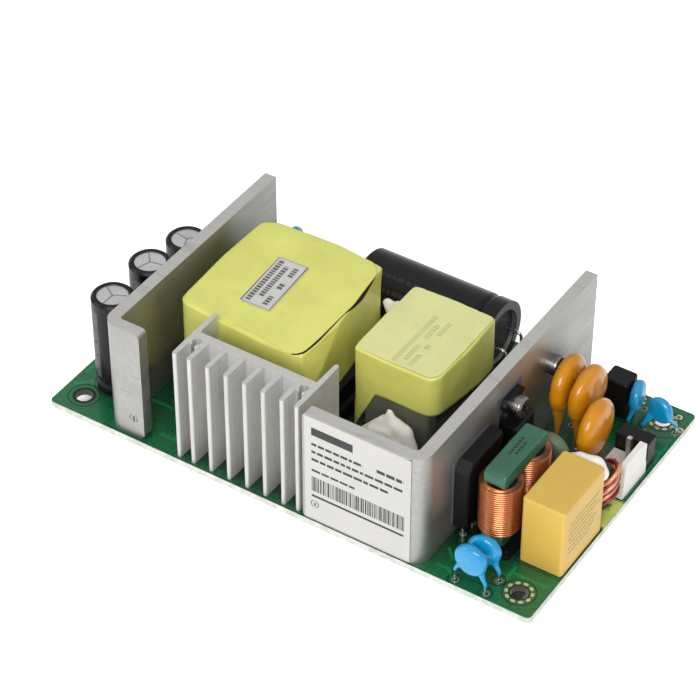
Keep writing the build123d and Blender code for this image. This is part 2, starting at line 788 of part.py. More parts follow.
def lens(r, t):
    """A coated disc about Z: a full round rim and faces that swell a little in the middle."""
    rim = t * 0.4
    flat = r - rim
    core = flat * 0.3
    outline = [
        Line((0, 0, -t / 2), (core, 0, -t / 2)),
        ThreePointArc((core, 0, -t / 2), (flat * 0.7, 0, -t * 0.47), (flat, 0, -rim)),
        ThreePointArc((flat, 0, -rim), (r, 0, 0), (flat, 0, rim)),
        ThreePointArc((flat, 0, rim), (flat * 0.7, 0, t * 0.47), (core, 0, t / 2)),
        Line((core, 0, t / 2), (0, 0, t / 2)),
        Line((0, 0, t / 2), (0, 0, -t / 2)),
    ]
    return revolve(make_face(outline), Axis.Z)


def disc_part(x, y, lift, turn, r, t, pitch):
    """A disc whose middle is over x, y at a height above the board, in a plane turned about Z.

    Returns the coated body and its two leads.
    """
    mid = top + lift
    place = Pos(x, y, mid) * Rot(0, 0, turn)
    body = Rot(90, 0, 0) * lens(r, t)
    leads = []
    leg_z = top + leg_h
    for side in (-1, 1):
        foot_x = side * pitch / 2
        start = Pos(foot_x, 0, leg_z - mid) * Circle(leg_r)
        grip = min(pitch / 2, r * 0.62)
        end = Pos(side * grip, 0, -r * 0.55) * Circle(leg_r * 1.35)
        body += loft([start, end])
        spot = (place * Pos(foot_x, 0, 0)).position
        leads.append(lead(spot.X, spot.Y, leg_z, thin_lead_r))
    return place * body, leads


# Box fuse and black box part

fuse_x1 = right - fuse_edge
fuse_x0 = fuse_x1 - fuse_l
header_y0 = front + header_front
header_y1 = header_y0 + header_l
fuse_y0 = header_y1 + small_gap
fuse_y1 = fuse_y0 + fuse_w
fuse = rounded_block(fuse_x0, fuse_x1, fuse_y0, fuse_y1, top + seat_gap, top + fuse_h, 0.4, 0.3)
fuse_leads = []
for side in (-1, 1):
    x = (fuse_x0 + fuse_x1) / 2 + side * fuse_pitch / 2
    fuse_leads.append(lead(x, (fuse_y0 + fuse_y1) / 2, top + seat_gap, thin_lead_r))
relay_x1 = right - relay_x
relay_x0 = relay_x1 - relay_l
relay_y = (front + varistor_y + varistor_r + back) / 2
relay_y0 = relay_y - relay_w / 2
relay_y1 = relay_y + relay_w / 2
corner_disc_y = fuse_y1 + corner_disc_share * (back - fuse_y1)
relay = rounded_block(relay_x0, relay_x1, relay_y0, relay_y1, top + seat_gap, top + relay_h, 0.8, 0.6)
relay_leads = []
for side in (-1, 1):
    x = (relay_x0 + relay_x1) / 2 + side * relay_pitch / 2
    relay_leads.append(lead(x, relay_y, top + seat_gap, thin_lead_r))

ydiscs, ydisc_leads = [], []
ydisc_places = [
    (cm_x + front_disc_side, front + front_disc_front, front_disc_lift, 0),
    (cm_x + second_disc_side, front + second_disc_front, second_disc_lift, 0),
    (relay_x1 + rear_disc_gap + ydisc_t / 2, relay_y - rear_disc_shift, rear_disc_lift, 90),
    (right - corner_disc_edge, corner_disc_y, corner_disc_lift, corner_disc_turn),
    (outlet_x1 + outlet_disc_gap + ydisc_t / 2, back - outlet_disc_back, outlet_disc_lift, 90),
]
for x, y, lift, turn in ydisc_places:
    body, leads = disc_part(x, y, lift, turn, ydisc_r, ydisc_t, ydisc_pitch)
    ydiscs.append(body)
    ydisc_leads.extend(leads)

varistors, varistor_leads = [], []
varistor_x = inlet_x1 + varistor_side
varistor_places = [
    (varistor_x, front + varistor_y, varistor_lift),
    (varistor_x + varistor_spacing, front + varistor_y - varistor_shift, varistor_lift),
    (
        varistor_x + varistor_spacing + last_varistor_step,
        front + varistor_y - varistor_shift - last_varistor_back,
        last_varistor_lift,
    ),
]
for x, y, lift in varistor_places:
    body, leads = disc_part(x, y, lift, 90, varistor_r, varistor_t, varistor_pitch)
    varistors.append(body)
    varistor_leads.extend(leads)
thermistor_y = cm_y + base_l / 2 + thermistor_gap
thermistor, thermistor_leads = disc_part(
    inlet_x1 + thermistor_side, thermistor_y, thermistor_lift, 0, thermistor_r, thermistor_t, thermistor_pitch
)

# Headers: a base with a polarising wall along one side, and square pins


def square_pin(x, y, z1):
    """A square pin from under the board to its top, with a chamfered tip."""
    pin = block(x - header_pin_w / 2, x + header_pin_w / 2, y - header_pin_w / 2, y + header_pin_w / 2,
                -lead_out, z1)
    pin = chamfer(pin.faces().sort_by(Axis.Z)[-1].edges(), header_pin_w * 0.3)
    lead_holes.append((x, y, header_pin_w * 0.71))
    return pin


def header(x0, x1, y0, y1, wall_side, pin_x, pin_ys):
    """The housing and the pins of one header. wall_side says which X side has the wall."""
    base = block(x0, x1, y0, y1, top + seat_gap, top + header_base_h)
    if wall_side > 0:
        w0, w1 = x1 - header_wall_t, x1
    else:
        w0, w1 = x0, x0 + header_wall_t
    wall = block(w0, w1, y0 + 0.4, y1 - 0.4, top + header_base_h, top + header_wall_h)
    wall = chamfer(wall.edges().filter_by(Axis.X).group_by(Axis.Z)[-1], 1.0)
    housing = base + wall
    for y in (y0 + header_l * 0.3, y1 - header_l * 0.3):
        rib_x = w0 if wall_side > 0 else w1
        rib_top = top + header_wall_h - 1.5
        rib = block(rib_x - 0.5, rib_x + 0.5, y - 0.4, y + 0.4, top + header_base_h, rib_top)
        housing += rib
    pins = []
    for y in pin_ys:
        housing -= block(pin_x - header_pin_w / 2, pin_x + header_pin_w / 2, y - header_pin_w / 2,
                         y + header_pin_w / 2, 0, top + header_base_h)
        pins.append(square_pin(pin_x, y, top + header_pin_top))
    return housing, pins


header_x1 = right - header_edge
header_x0 = header_x1 - header_w
header_pin_x = header_x0 + header_w * 0.54
header_mid = (header_y0 + header_y1) / 2 - 0.2
mains_header, mains_pins = header(
    header_x0, header_x1, header_y0, header_y1, 1, header_pin_x,
    [header_mid - header_pin_pitch / 2, header_mid + header_pin_pitch / 2],
)
out_x0 = left + outhead_edge
out_x1 = out_x0 + header_w
out_y0 = front + outhead_front
out_y1 = out_y0 + outhead_pins * outhead_pitch
out_pin_ys = [out_y0 + (i + 0.5) * outhead_pitch for i in range(outhead_pins)]
output_header, output_pins = header(out_x0, out_x1, out_y0, out_y1, 1, out_x0 + header_w * 0.46, out_pin_ys)

# Wound rod choke: a ferrite rod with thick enamelled turns

rod_out_r = rod_r + 2 * rod_wire_r
rod_x = right - rod_edge
rod_y = header_y0 - rod_gap - rod_out_r
rod_core = rod(rod_x, rod_y, top + seat_gap, top + rod_h, rod_r)
rod_core = chamfer(rod_core.edges().filter_by(GeomType.CIRCLE), 0.3)
rod_winding = None
for i in range(rod_turns):
    z = top + 1.4 + rod_wire_r + i * 2 * rod_wire_r
    turn = Pos(rod_x, rod_y, z) * (Cylinder(rod_out_r, 2 * rod_wire_r) - Cylinder(rod_r, 2 * rod_wire_r))
    turn = fillet(turn.edges().filter_by(GeomType.CIRCLE).sort_by(SortBy.RADIUS)[-2:], rod_wire_r * 0.8)
    rod_winding = turn if rod_winding is None else rod_winding + turn
rod_leads = []
for side in (-1, 1):
    rod_leads.append(lead(rod_x + side * (rod_out_r - 1.0), rod_y, top + 1.4, pin_r))

# Adhesive mounds: drops that sag round what they hold


def mound(x, y, r, h, lean):
    """A sagging drop on the board whose top leans back along Y by a distance."""
    rings = []
    for up, wide in ((0, 1), (0.35, 1), (0.66, 0.93), (0.83, 0.72), (0.94, 0.4), (1, 0.1)):
        rings.append(Pos(x, y + lean * up * up, top + up * h) * Circle(r * wide))
    return loft(rings)


glue_front_space = inlet_x0 - nut_t - screw_end - comb_x1
glue_front_r = glue_front_share * glue_front_space / 2
glue_front_y = pfc_y0 - glue_front_r - seat_gap
glue_front_x = comb_x1 + glue_side_gap + glue_front_r
glue_front = mound(glue_front_x, glue_front_y, glue_front_r, glue_front_h, glue_front_lean)
glue_mid_x = (main_x1 + pfc_x0) / 2
glue_mid_r = (pfc_x0 - main_x1) / 2 - glue_mid_gap
glue_mid_y = bulk_y - bulk_r - glue_mid_r + 1.0
glue_mid = mound(glue_mid_x, glue_mid_y, glue_mid_r, glue_mid_h, glue_mid_lean)
glue_mid -= lay * Pos(0, 0, bulk_l / 2) * Cylinder(bulk_r, bulk_l)
glue_back_z = top + rod_h
glue_back = block(
    xcap_x0 - glue_back_left, xcap_x1 - glue_back_right, xcap_y1, xcap_y1 + glue_back_d,
    glue_back_z, glue_back_z + glue_back_h,
)
glue_back = fillet(glue_back.edges().filter_by(Axis.Z).group_by(Axis.Y)[-1], glue_back_r)
glue_back = fillet(glue_back.faces().sort_by(Axis.Z)[-1].edges().group_by(Axis.Y)[-1], 1.4)

# Circuit board, with a hole for every lead and slot for every tab, and the joints under it

board_plan = RectangleRounded(board_l, board_w, board_corner_r)
board = extrude(board_plan, board_t)
cuts = []
for sx in (-1, 1):
    for sy in (-1, 1):
        hole_x = sx * (right - mount_hole_inset)
        hole_y = sy * (back - mount_hole_inset)
        cuts.append(rod(hole_x, hole_y, 0, board_t, mount_hole_r))
joints = []
for x, y, r in lead_holes:
    cuts.append(rod(x, y, 0, board_t, r + lead_gap))
    cone = Pos(x, y, -joint_h / 2) * Rot(180, 0, 0) * Cone(r + joint_r, r + 0.12, joint_h)
    joints.append(cone - rod(x, y, -joint_h, 0, r))
for x, y, w, l in slot_holes:
    cuts.append(block(x - w / 2 - tab_gap, x + w / 2 + tab_gap, y - l / 2 - tab_gap, y + l / 2 + tab_gap,
                      0, board_t))
    bead = Pos(x, y, -joint_h / 2) * Box(w + 2 * slot_bead, l + 2 * slot_bead, joint_h)
    bead = chamfer(bead.faces().sort_by(Axis.Z)[0].edges(), 0.6)
    joints.append(bead - block(x - w / 2, x + w / 2, y - l / 2, y + l / 2, -joint_h, 0))
board -= cuts

save("circuit_board", [board])
save("solder_joints", joints)
save("output_heatsink", [outlet])
save("input_heatsink", [inlet])
save("finned_heatsink", [comb])
save("finned_heatsink_pins", comb_pins)
save("output_capacitor_cans", out_cans)
save("output_capacitor_sleeves", out_sleeves)
save("output_capacitor_leads", out_leads)
save("bulk_capacitor_can", [bulk_can])
save("bulk_capacitor_sleeve", [bulk_sleeve])
save("bulk_capacitor_bung", [bulk_bung])
save("bulk_capacitor_leads", bulk_leads)
save("power_device_bodies", screw_set["bodies"])
save("power_device_tabs", screw_set["tabs"])
save("power_device_leads", screw_set["leads"])
save("insulating_pads", screw_set["pads"])
save("device_screws", screw_set["screws"])
save("spring_washers", screw_set["washers"])
save("device_nuts", screw_set["nuts"])
save("bridge_rectifier_body", [bridge])
save("bridge_rectifier_leads", bridge_legs)
save("line_choke_core", [cm_core])
save("line_choke_base", [cm_base])
save("line_choke_tubes", cm_bobbin)
save("line_choke_windings", cm_windings)
save("line_choke_pins", cm_pins)
save("x_capacitor_case", [xcap])
save("x_capacitor_leads", xcap_leads)
save("y_capacitor_discs", ydiscs)
save("y_capacitor_leads", ydisc_leads)
save("varistor_discs", varistors)
save("varistor_leads", varistor_leads)
save("thermistor_disc", [thermistor])
save("thermistor_leads", thermistor_leads)
save("fuse_body", [fuse])
save("fuse_leads", fuse_leads)
save("black_capacitor_case", [relay])
save("black_capacitor_leads", relay_leads)
save("mains_header_housing", [mains_header])
save("mains_header_pins", mains_pins)
save("output_header_housing", [output_header])
save("output_header_pins", output_pins)
save("rod_choke_core", [rod_core])
save("rod_choke_winding", [rod_winding])
save("rod_choke_leads", rod_leads)
save("adhesive_front", [glue_front])
save("adhesive_middle", [glue_mid])
save("adhesive_rear", [glue_back])
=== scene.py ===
import bpy
import json
import math
import random
from mathutils import Matrix, Vector, noise


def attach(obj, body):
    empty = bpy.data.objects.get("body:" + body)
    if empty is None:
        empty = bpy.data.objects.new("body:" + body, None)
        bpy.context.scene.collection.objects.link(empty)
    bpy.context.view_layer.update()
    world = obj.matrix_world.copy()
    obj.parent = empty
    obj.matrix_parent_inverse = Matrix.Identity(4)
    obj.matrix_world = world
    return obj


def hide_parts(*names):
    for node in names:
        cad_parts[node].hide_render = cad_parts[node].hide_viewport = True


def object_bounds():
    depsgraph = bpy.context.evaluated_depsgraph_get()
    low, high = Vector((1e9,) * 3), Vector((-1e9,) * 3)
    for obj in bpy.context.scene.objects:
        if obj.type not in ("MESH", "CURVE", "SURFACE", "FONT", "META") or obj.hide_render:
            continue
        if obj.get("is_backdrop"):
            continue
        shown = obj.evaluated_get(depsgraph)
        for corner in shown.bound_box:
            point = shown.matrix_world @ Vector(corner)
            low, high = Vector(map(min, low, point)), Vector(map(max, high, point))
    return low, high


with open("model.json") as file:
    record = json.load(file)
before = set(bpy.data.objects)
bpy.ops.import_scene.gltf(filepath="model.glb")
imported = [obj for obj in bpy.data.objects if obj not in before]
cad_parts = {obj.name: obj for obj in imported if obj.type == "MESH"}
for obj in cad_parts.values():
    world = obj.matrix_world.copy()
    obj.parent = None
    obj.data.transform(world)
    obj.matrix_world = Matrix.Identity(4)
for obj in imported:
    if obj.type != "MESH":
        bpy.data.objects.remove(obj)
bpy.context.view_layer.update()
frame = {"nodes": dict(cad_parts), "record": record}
nodes = frame["nodes"]
scene = bpy.context.scene
rng = random.Random(11)
# without a seed Blender takes one from the clock, and the uneven skins differ from run to run
noise.seed_set(11)

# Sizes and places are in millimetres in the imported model's frame, with z = 0 at the board's underside
MM = 0.001
TOP = 1.6
BOARD_X, BOARD_Y = 63.5, 38.1
HOLE_X, HOLE_Y = 57.785, 32.385
TRANSFORMER_TOP = TOP + 27.6
CHOKE_TOP = TOP + 25.9
OUTPUT_CAP_X = -53.8
OUTPUT_CAPS = ((-24.5, 26.2), (-10.2, 26.2), (4.1, 23.4))
BULK_Y, BULK_Z, BULK_R = 28.0, 10.8, 9.0
LINE_CHOKE_X, LINE_CHOKE_Y = 46.0, (-21.1, -9.3)
ROD_X, ROD_Y = 59.1, 0.2
QUARTER = math.pi / 2


def lin(r, g, b):
    """A colour as seen on a screen, 0 to 255, in the linear values the shader takes."""
    out = []
    for c in (r, g, b):
        c = c / 255
        out.append(c / 12.92 if c <= 0.04045 else ((c + 0.055) / 1.055) ** 2.4)
    return (*out, 1.0)


def scaled(color, k):
    return (*[min(1.0, c * k) for c in color[:3]], 1.0)


def clamp(value):
    return max(0.0, min(1.0, value))


def circle(n):
    """Angles at n even steps round a circle."""
    return [2 * math.pi * i / n for i in range(n)]


def polar(x, y, r, a):
    return (x + r * math.cos(a), y + r * math.sin(a))


def rotated(x, y, u, v, turn):
    """The point that lies u along and v across from x, y in a frame turned about z."""
    return (x + u * math.cos(turn) - v * math.sin(turn), y + u * math.sin(turn) + v * math.cos(turn))


# Materials


class Shader:
    """Builds one procedural material step by step."""

    def __init__(self, name):
        self.mat = bpy.data.materials.new(name)
        self.mat.use_nodes = True
        self.tree = self.mat.node_tree
        self.bsdf = self.tree.nodes["Principled BSDF"]
        self.coord = self.add("ShaderNodeTexCoord").outputs["Object"]

    def add(self, kind, **values):
        node = self.tree.nodes.new(kind)
        for key, value in values.items():
            setattr(node, key, value)
        return node

    def link(self, a, b):
        self.tree.links.new(a, b)

    def split(self, vector):
        node = self.add("ShaderNodeSeparateXYZ")
        self.link(vector, node.inputs["Vector"])
        return node.outputs

    def normal(self):
        return self.add("ShaderNodeNewGeometry").outputs["Normal"]

    def maths(self, kind, *values):
        """A sum on numbers and outputs of other nodes."""
        node = self.add("ShaderNodeMath", operation=kind)
        for socket, value in zip(node.inputs, values):
            if isinstance(value, (int, float)):
                socket.default_value = value
            else:
                self.link(value, socket)
        return node.outputs[0]

    def mapped(self, stretch, turn=(0, 0, 0)):
        node = self.add("ShaderNodeMapping")
        node.inputs["Scale"].default_value = stretch
        node.inputs["Rotation"].default_value = turn
        self.link(self.coord, node.inputs["Vector"])
        return node.outputs["Vector"]

    def noise(self, scale, detail=3.0, vector=None, rough=0.55):
        node = self.add("ShaderNodeTexNoise")
        node.inputs["Scale"].default_value = scale
        node.inputs["Detail"].default_value = detail
        node.inputs["Roughness"].default_value = rough
        self.link(vector or self.coord, node.inputs["Vector"])
        return node.outputs["Fac"]

    def ramp(self, fac, stops):
        node = self.add("ShaderNodeValToRGB")
        ends = node.color_ramp.elements
        while len(ends) < len(stops):
            ends.new(0.5)
        for end, (place, color) in zip(ends, stops):
            end.position = place
            end.color = color
        self.link(fac, node.inputs["Fac"])
        return node.outputs["Color"]

    def mix(self, fac, a, b):
        node = self.add("ShaderNodeMix", data_type="RGBA", blend_type="MIX")
        self.link(fac, node.inputs["Factor"])
        for value, key in ((a, 6), (b, 7)):
            if isinstance(value, tuple):
                node.inputs[key].default_value = value
            else:
                self.link(value, node.inputs[key])
        return node.outputs[2]

    def span(self, fac, low, high, start=0.3, end=0.7):
        node = self.add("ShaderNodeMapRange")
        self.link(fac, node.inputs["Value"])
        node.inputs["From Min"].default_value = start
        node.inputs["From Max"].default_value = end
        node.inputs["To Min"].default_value = low
        node.inputs["To Max"].default_value = high
        return node.outputs["Result"]

    def bevel(self, radius):
        node = self.add("ShaderNodeBevel", samples=4)
        node.inputs["Radius"].default_value = radius * MM
        return node.outputs["Normal"]

    def bump(self, height, strength, depth, under=None):
        node = self.add("ShaderNodeBump")
        node.inputs["Strength"].default_value = strength
        node.inputs["Distance"].default_value = depth * MM
        self.link(height, node.inputs["Height"])
        if under is not None:
            self.link(under, node.inputs["Normal"])
        return node.outputs["Normal"]

    def set(self, **values):
        for key, value in values.items():
            socket = self.bsdf.inputs[key.replace("_", " ")]
            if isinstance(value, (int, float, tuple)):
                socket.default_value = value
            else:
                self.link(value, socket)

    def coat(self, weight, rough):
        self.bsdf.inputs["Coat Weight"].default_value = weight
        self.bsdf.inputs["Coat Roughness"].default_value = rough


def plain(name, color, rough, metal=0.0, patch=120.0, fine=2500.0, vary=0.12, bump=0.25, depth=0.02,
          rough_vary=0.1, coat=0.0, soft_edge=0.0, spots=0.0, level=0.5):
    """A surface with broad colour drift, a fine grain in bump and gloss, and an optional clear coat."""
    s = Shader(name)
    broad = s.noise(patch, 4.0)
    grain = s.noise(fine, 3.0)
    shade = s.ramp(broad, [(0.3, scaled(color, 1 - vary)), (0.7, scaled(color, 1 + vary * 0.6))])
    if spots:
        dirt = s.noise(patch * 6, 6.0, rough=0.7)
        shade = s.mix(s.span(dirt, 0.0, spots, 0.58, 0.75), shade, scaled(color, 0.45))
    under = s.bevel(soft_edge) if soft_edge else None
    s.set(Base_Color=shade, Metallic=metal, Roughness=s.span(grain, rough - rough_vary, rough + rough_vary),
          Normal=s.bump(grain, bump, depth, under))
    s.bsdf.inputs["Specular IOR Level"].default_value = level
    if coat:
        s.coat(coat, 0.12)
    return s.mat


def board_material():
    """Green mask over laminate: the faces are glossy green, with painted shade where parts stand close, and
    the cut edges are bare laminate.
    """
    s = Shader("laminate_mask")
    weave = s.noise(1600.0, 2.0)
    broad = s.noise(60.0, 3.0)
    green = s.ramp(broad, [(0.3, lin(6, 86, 47)), (0.7, lin(12, 110, 62))])
    green = s.mix(s.span(weave, 0.0, 0.25), green, lin(22, 120, 76))
    # painted shade: an occlusion test darkens the board where parts stand close together
    painted_shade_ao = s.add("ShaderNodeAmbientOcclusion", samples=8)
    painted_shade_ao.inputs["Distance"].default_value = 16 * MM
    green = s.mix(s.span(painted_shade_ao.outputs["AO"], 1.0, 0.0, 0.15, 0.6), green, lin(10, 30, 20))
    # of the cut edges the outer rim is pale laminate, and the walls of the holes are painted dark, painted
    # shade inside the holes
    pale = s.ramp(s.noise(500.0, 5.0), [(0.3, lin(176, 180, 170)), (0.7, lin(222, 223, 216))])
    place = s.split(s.coord)
    rims = [s.span(s.maths("ABSOLUTE", place[axis]), 0.0, 1.0, (half - 0.7) * MM, (half - 0.5) * MM)
            for axis, half in (("X", BOARD_X), ("Y", BOARD_Y))]
    edge = s.mix(s.maths("MAXIMUM", *rims), lin(66, 62, 50), pale)
    side = s.maths("LESS_THAN", s.maths("ABSOLUTE", s.split(s.normal())["Z"]), 0.5)
    s.set(Base_Color=s.mix(side, green, edge), Roughness=s.span(weave, 0.22, 0.38),
          Normal=s.bump(weave, 0.12, 0.02))
    s.coat(0.3, 0.1)
    return s.mat


def metal_material(name, color, rough, stretch, fine=900.0, metal=1.0, sheared_and_lit=None):
    """Bare aluminium with drawn or rolled lines, handling smears and a few scratches."""
    s = Shader(name)
    lines = s.noise(fine, 5.0, s.mapped(stretch), 0.6)
    smears = s.noise(45.0, 5.0, s.mapped((1.0, 0.6, 1.6)), 0.6)
    marks = s.noise(fine * 0.8, 2.0, s.mapped((0.12, 1.0, 1.4), (0.4, 0.2, 0.9)))
    tone = s.ramp(lines, [(0.25, scaled(color, 0.84)), (0.75, scaled(color, 1.06))])
    tone = s.mix(s.span(smears, 0.0, 0.5, 0.35, 0.7), tone, scaled(color, 0.8))
    tone = s.mix(s.span(marks, 0.0, 0.5, 0.68, 0.74), tone, scaled(color, 0.55))
    if sheared_and_lit:
        # the sheared edge along the top is duller than the rolled faces, and its colour is painted brighter,
        # a painted highlight from the light above
        facing = s.split(s.normal())["Z"]
        cut = s.mix(s.span(marks, 0.0, 0.5, 0.55, 0.7), sheared_and_lit, scaled(sheared_and_lit, 0.7))
        tone = s.mix(s.span(facing, 0.0, 1.0, 0.6, 0.9), tone, cut)
        metal = s.span(facing, metal, 0.62, 0.6, 0.9)
    s.set(Base_Color=tone, Metallic=metal, Roughness=s.span(smears, rough - 0.08, rough + 0.14),
          Normal=s.bump(lines, 0.3, 0.012, s.bevel(0.16)))
    return s.mat


def tape_material(name, color):
    """Polyester tape: glossy, with wrinkles, overlap lines and darker thin places."""
    s = Shader(name)
    broad = s.noise(70.0, 4.0)
    wrinkle = s.noise(260.0, 6.0, s.mapped((1.0, 1.0, 2.2)), 0.62)
    ply = s.noise(90.0, 3.0, s.mapped((0.15, 0.6, 3.0)), 0.5)
    fine = s.noise(1500.0, 3.0)
    shade = s.ramp(broad, [(0.28, scaled(color, 0.9)), (0.72, scaled(color, 1.05))])
    shade = s.mix(s.span(wrinkle, 0.0, 0.22, 0.5, 0.75), shade, scaled(color, 0.72))
    shade = s.mix(s.span(ply, 0.0, 0.16, 0.55, 0.62), shade, scaled(color, 0.8))
    relief = s.bump(ply, 0.3, 0.25, s.bump(wrinkle, 0.35, 0.12))
    s.set(Base_Color=shade, Roughness=s.span(wrinkle, 0.26, 0.46), Normal=s.bump(fine, 0.12, 0.02, relief))
    s.bsdf.inputs["Subsurface Weight"].default_value = 0.12
    s.bsdf.inputs["Subsurface Scale"].default_value = 0.6 * MM
    s.coat(0.2, 0.25)
    return s.mat


def wire_material(name, color, rough=0.3, metal=0.75):
    s = Shader(name)
    broad = s.noise(300.0, 4.0)
    fine = s.noise(4000.0, 3.0)
    shade = s.ramp(broad, [(0.3, scaled(color, 0.86)), (0.55, color), (0.75, scaled(color, 1.1))])
    s.set(Base_Color=shade, Metallic=metal, Roughness=s.span(fine, rough - 0.04, rough + 0.05),
          Normal=s.bump(fine, 0.06, 0.004))
    s.coat(0.5, 0.15)
    return s.mat


M = {
    "laminate": board_material(),
    "solder": plain("solder_metal", lin(205, 206, 208), 0.24, 1.0, bump=0.4, depth=0.04, fine=1800.0),
    # the plates' upward faces get a duller finish and a painted highlight
    "plate_aluminium": metal_material("rolled_aluminium", lin(188, 187, 183), 0.44, (1.0, 0.06, 1.0),
                                      sheared_and_lit=lin(200, 199, 196)),
    "extruded_aluminium": metal_material("extruded_aluminium", lin(218, 217, 213), 0.5, (1.0, 1.0, 0.03),
                                         1300.0, 0.6),
    "tinned_steel": plain("tinned_steel", lin(190, 190, 192), 0.3, 1.0),
    "ferrite": plain("ferrite_ceramic", lin(60, 61, 59), 0.6, vary=0.2, spots=0.4, soft_edge=0.15),
    "black_moulding": plain("black_moulding", lin(17, 17, 18), 0.42, vary=0.2, depth=0.03, soft_edge=0.12,
                            level=0.28),
    "copper": wire_material("enamelled_copper", lin(200, 116, 66)),
    "yellow_tape": tape_material("polyester_tape", lin(224, 223, 116)),
    "tinned_wire": plain("tinned_wire", lin(212, 212, 210), 0.26, 1.0, fine=3000.0),
    "capacitor_aluminium": plain("drawn_can", lin(222, 222, 224), 0.4, 0.9, fine=1600.0),
    "black_sleeve": plain("shrunk_sleeve", lin(13, 13, 14), 0.3, vary=0.2, patch=200.0, level=0.32),
    "seal_rubber": plain("seal_rubber", lin(26, 26, 26), 0.7),
    "tinned_copper": plain("tinned_copper", lin(206, 204, 198), 0.3, 1.0),
    "pad_rubber": plain("filled_silicone_pad", lin(74, 78, 82), 0.6),
    "plated_steel": plain("bright_plated_steel", lin(150, 150, 148), 0.28, 1.0, fine=3000.0, soft_edge=0.1,
                          spots=0.3),
    "green_core_coating": plain("green_powder_coat", lin(44, 98, 74), 0.36, patch=150.0, depth=0.05,
                                fine=1400.0, coat=0.25, soft_edge=0.2),
    "yellow_case": plain("yellow_moulded_case", lin(216, 178, 80), 0.4, patch=90.0, vary=0.06, depth=0.03,
                         fine=1500.0, soft_edge=0.2, coat=0.1),
    "blue_coating": plain("blue_epoxy_dip", lin(16, 146, 200), 0.22, patch=220.0, vary=0.08, fine=700.0,
                          depth=0.03, coat=0.5),
    "orange_coating": plain("orange_epoxy_dip", lin(210, 137, 15), 0.2, patch=160.0, vary=0.1, fine=300.0,
                            depth=0.01, bump=0.1, rough_vary=0.04, coat=0.5, level=0.3),
    "grey_green_coating": plain("grey_green_resin_dip", lin(96, 120, 92), 0.45, vary=0.14),
    "white_moulding": plain("white_nylon", lin(232, 230, 224), 0.45, vary=0.06, soft_edge=0.12),
    "silicone": plain("white_silicone", lin(246, 243, 232), 0.5, vary=0.05, fine=380.0, depth=0.12,
                      coat=0.06, level=0.4),
}
for entry in frame["record"]["subparts"]:
    node = nodes[entry["node"]]
    node.data.materials.clear()
    node.data.materials.append(M[entry["material_slot"]])
# painted light: the choke's bobbin and core get lighter copies of the moulding and ferrite colours to make up
# for the shade they sit in
nodes["pfc_choke_bobbin"].data.materials[0] = plain("phenolic_lit_copy", lin(64, 66, 61), 0.5, vary=0.18,
                                                    depth=0.03, soft_edge=0.12, level=0.4)
nodes["pfc_choke_core"].data.materials[0] = plain("ferrite_lit_copy", lin(104, 106, 98), 0.6, vary=0.15,
                                                  spots=0.3, soft_edge=0.15)

# Films, inks and board print
FILM = plain("silver_film_label", lin(196, 194, 190), 0.42, 0.1, patch=60.0, vary=0.06, fine=900.0,
             depth=0.03)
PAPER = plain("paper_label", lin(204, 202, 198), 0.5, vary=0.08, fine=1200.0)
INK = plain("grey_ink", lin(46, 46, 50), 0.5, vary=0.2)
SOFT_INK = plain("soft_grey_ink", lin(96, 94, 98), 0.5, vary=0.2)
FAINT_INK = plain("faint_olive_ink", lin(198, 199, 138), 0.45)
GREEN_INK = plain("dark_green_ink", lin(22, 56, 42), 0.45, vary=0.15)
CASE_INK = plain("grey_case_ink", lin(168, 146, 78), 0.45, vary=0.15)
SLEEVE_INK = plain("dark_grey_sleeve_ink", lin(27, 27, 29), 0.4, vary=0.2)
SLEEVE_MARK = plain("pale_sleeve_mark", lin(74, 75, 78), 0.4, vary=0.2)
PRINT = plain("dark_board_print", lin(16, 40, 28), 0.5, vary=0.2)
TRACE = plain("copper_under_mask", lin(24, 124, 80), 0.3, vary=0.1, patch=200.0, coat=0.3)
PADS = plain("tinned_pads", lin(214, 208, 172), 0.35, 0.4)
DULL_PADS = plain("dull_solder_rings", lin(150, 158, 142), 0.4, 0.5, vary=0.2, patch=400.0)
PATCH = plain("bare_laminate_patch", lin(204, 216, 108), 0.4, patch=300.0)

# Pieces


def piece(name, verts, faces, mat, slot, smooth=False):
    """A mesh piece given in millimetres."""
    data = bpy.data.meshes.new(name)
    data.from_pydata([(x * MM, y * MM, z * MM) for x, y, z in verts], [], faces)
    data.update()
    if smooth:
        data.polygons.foreach_set("use_smooth", [True] * len(data.polygons))
    obj = bpy.data.objects.new(name, data)
    scene.collection.objects.link(obj)
    data.materials.append(mat)
    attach(obj, "root")
    return obj


def wire(name, points, r, mat):
    """A round wire along points in millimetres."""
    data = bpy.data.curves.new(name, "CURVE")
    data.dimensions = "3D"
    data.bevel_depth = r * MM
    data.bevel_resolution = 3
    data.use_fill_caps = True
    spline = data.splines.new("POLY")
    spline.points.add(len(points) - 1)
    for p, (x, y, z) in zip(spline.points, points):
        p.co = (x * MM, y * MM, z * MM, 1)
    spline.use_smooth = True
    obj = bpy.data.objects.new(name, data)
    scene.collection.objects.link(obj)
    data.materials.append(mat)
    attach(obj, "root")
    return obj


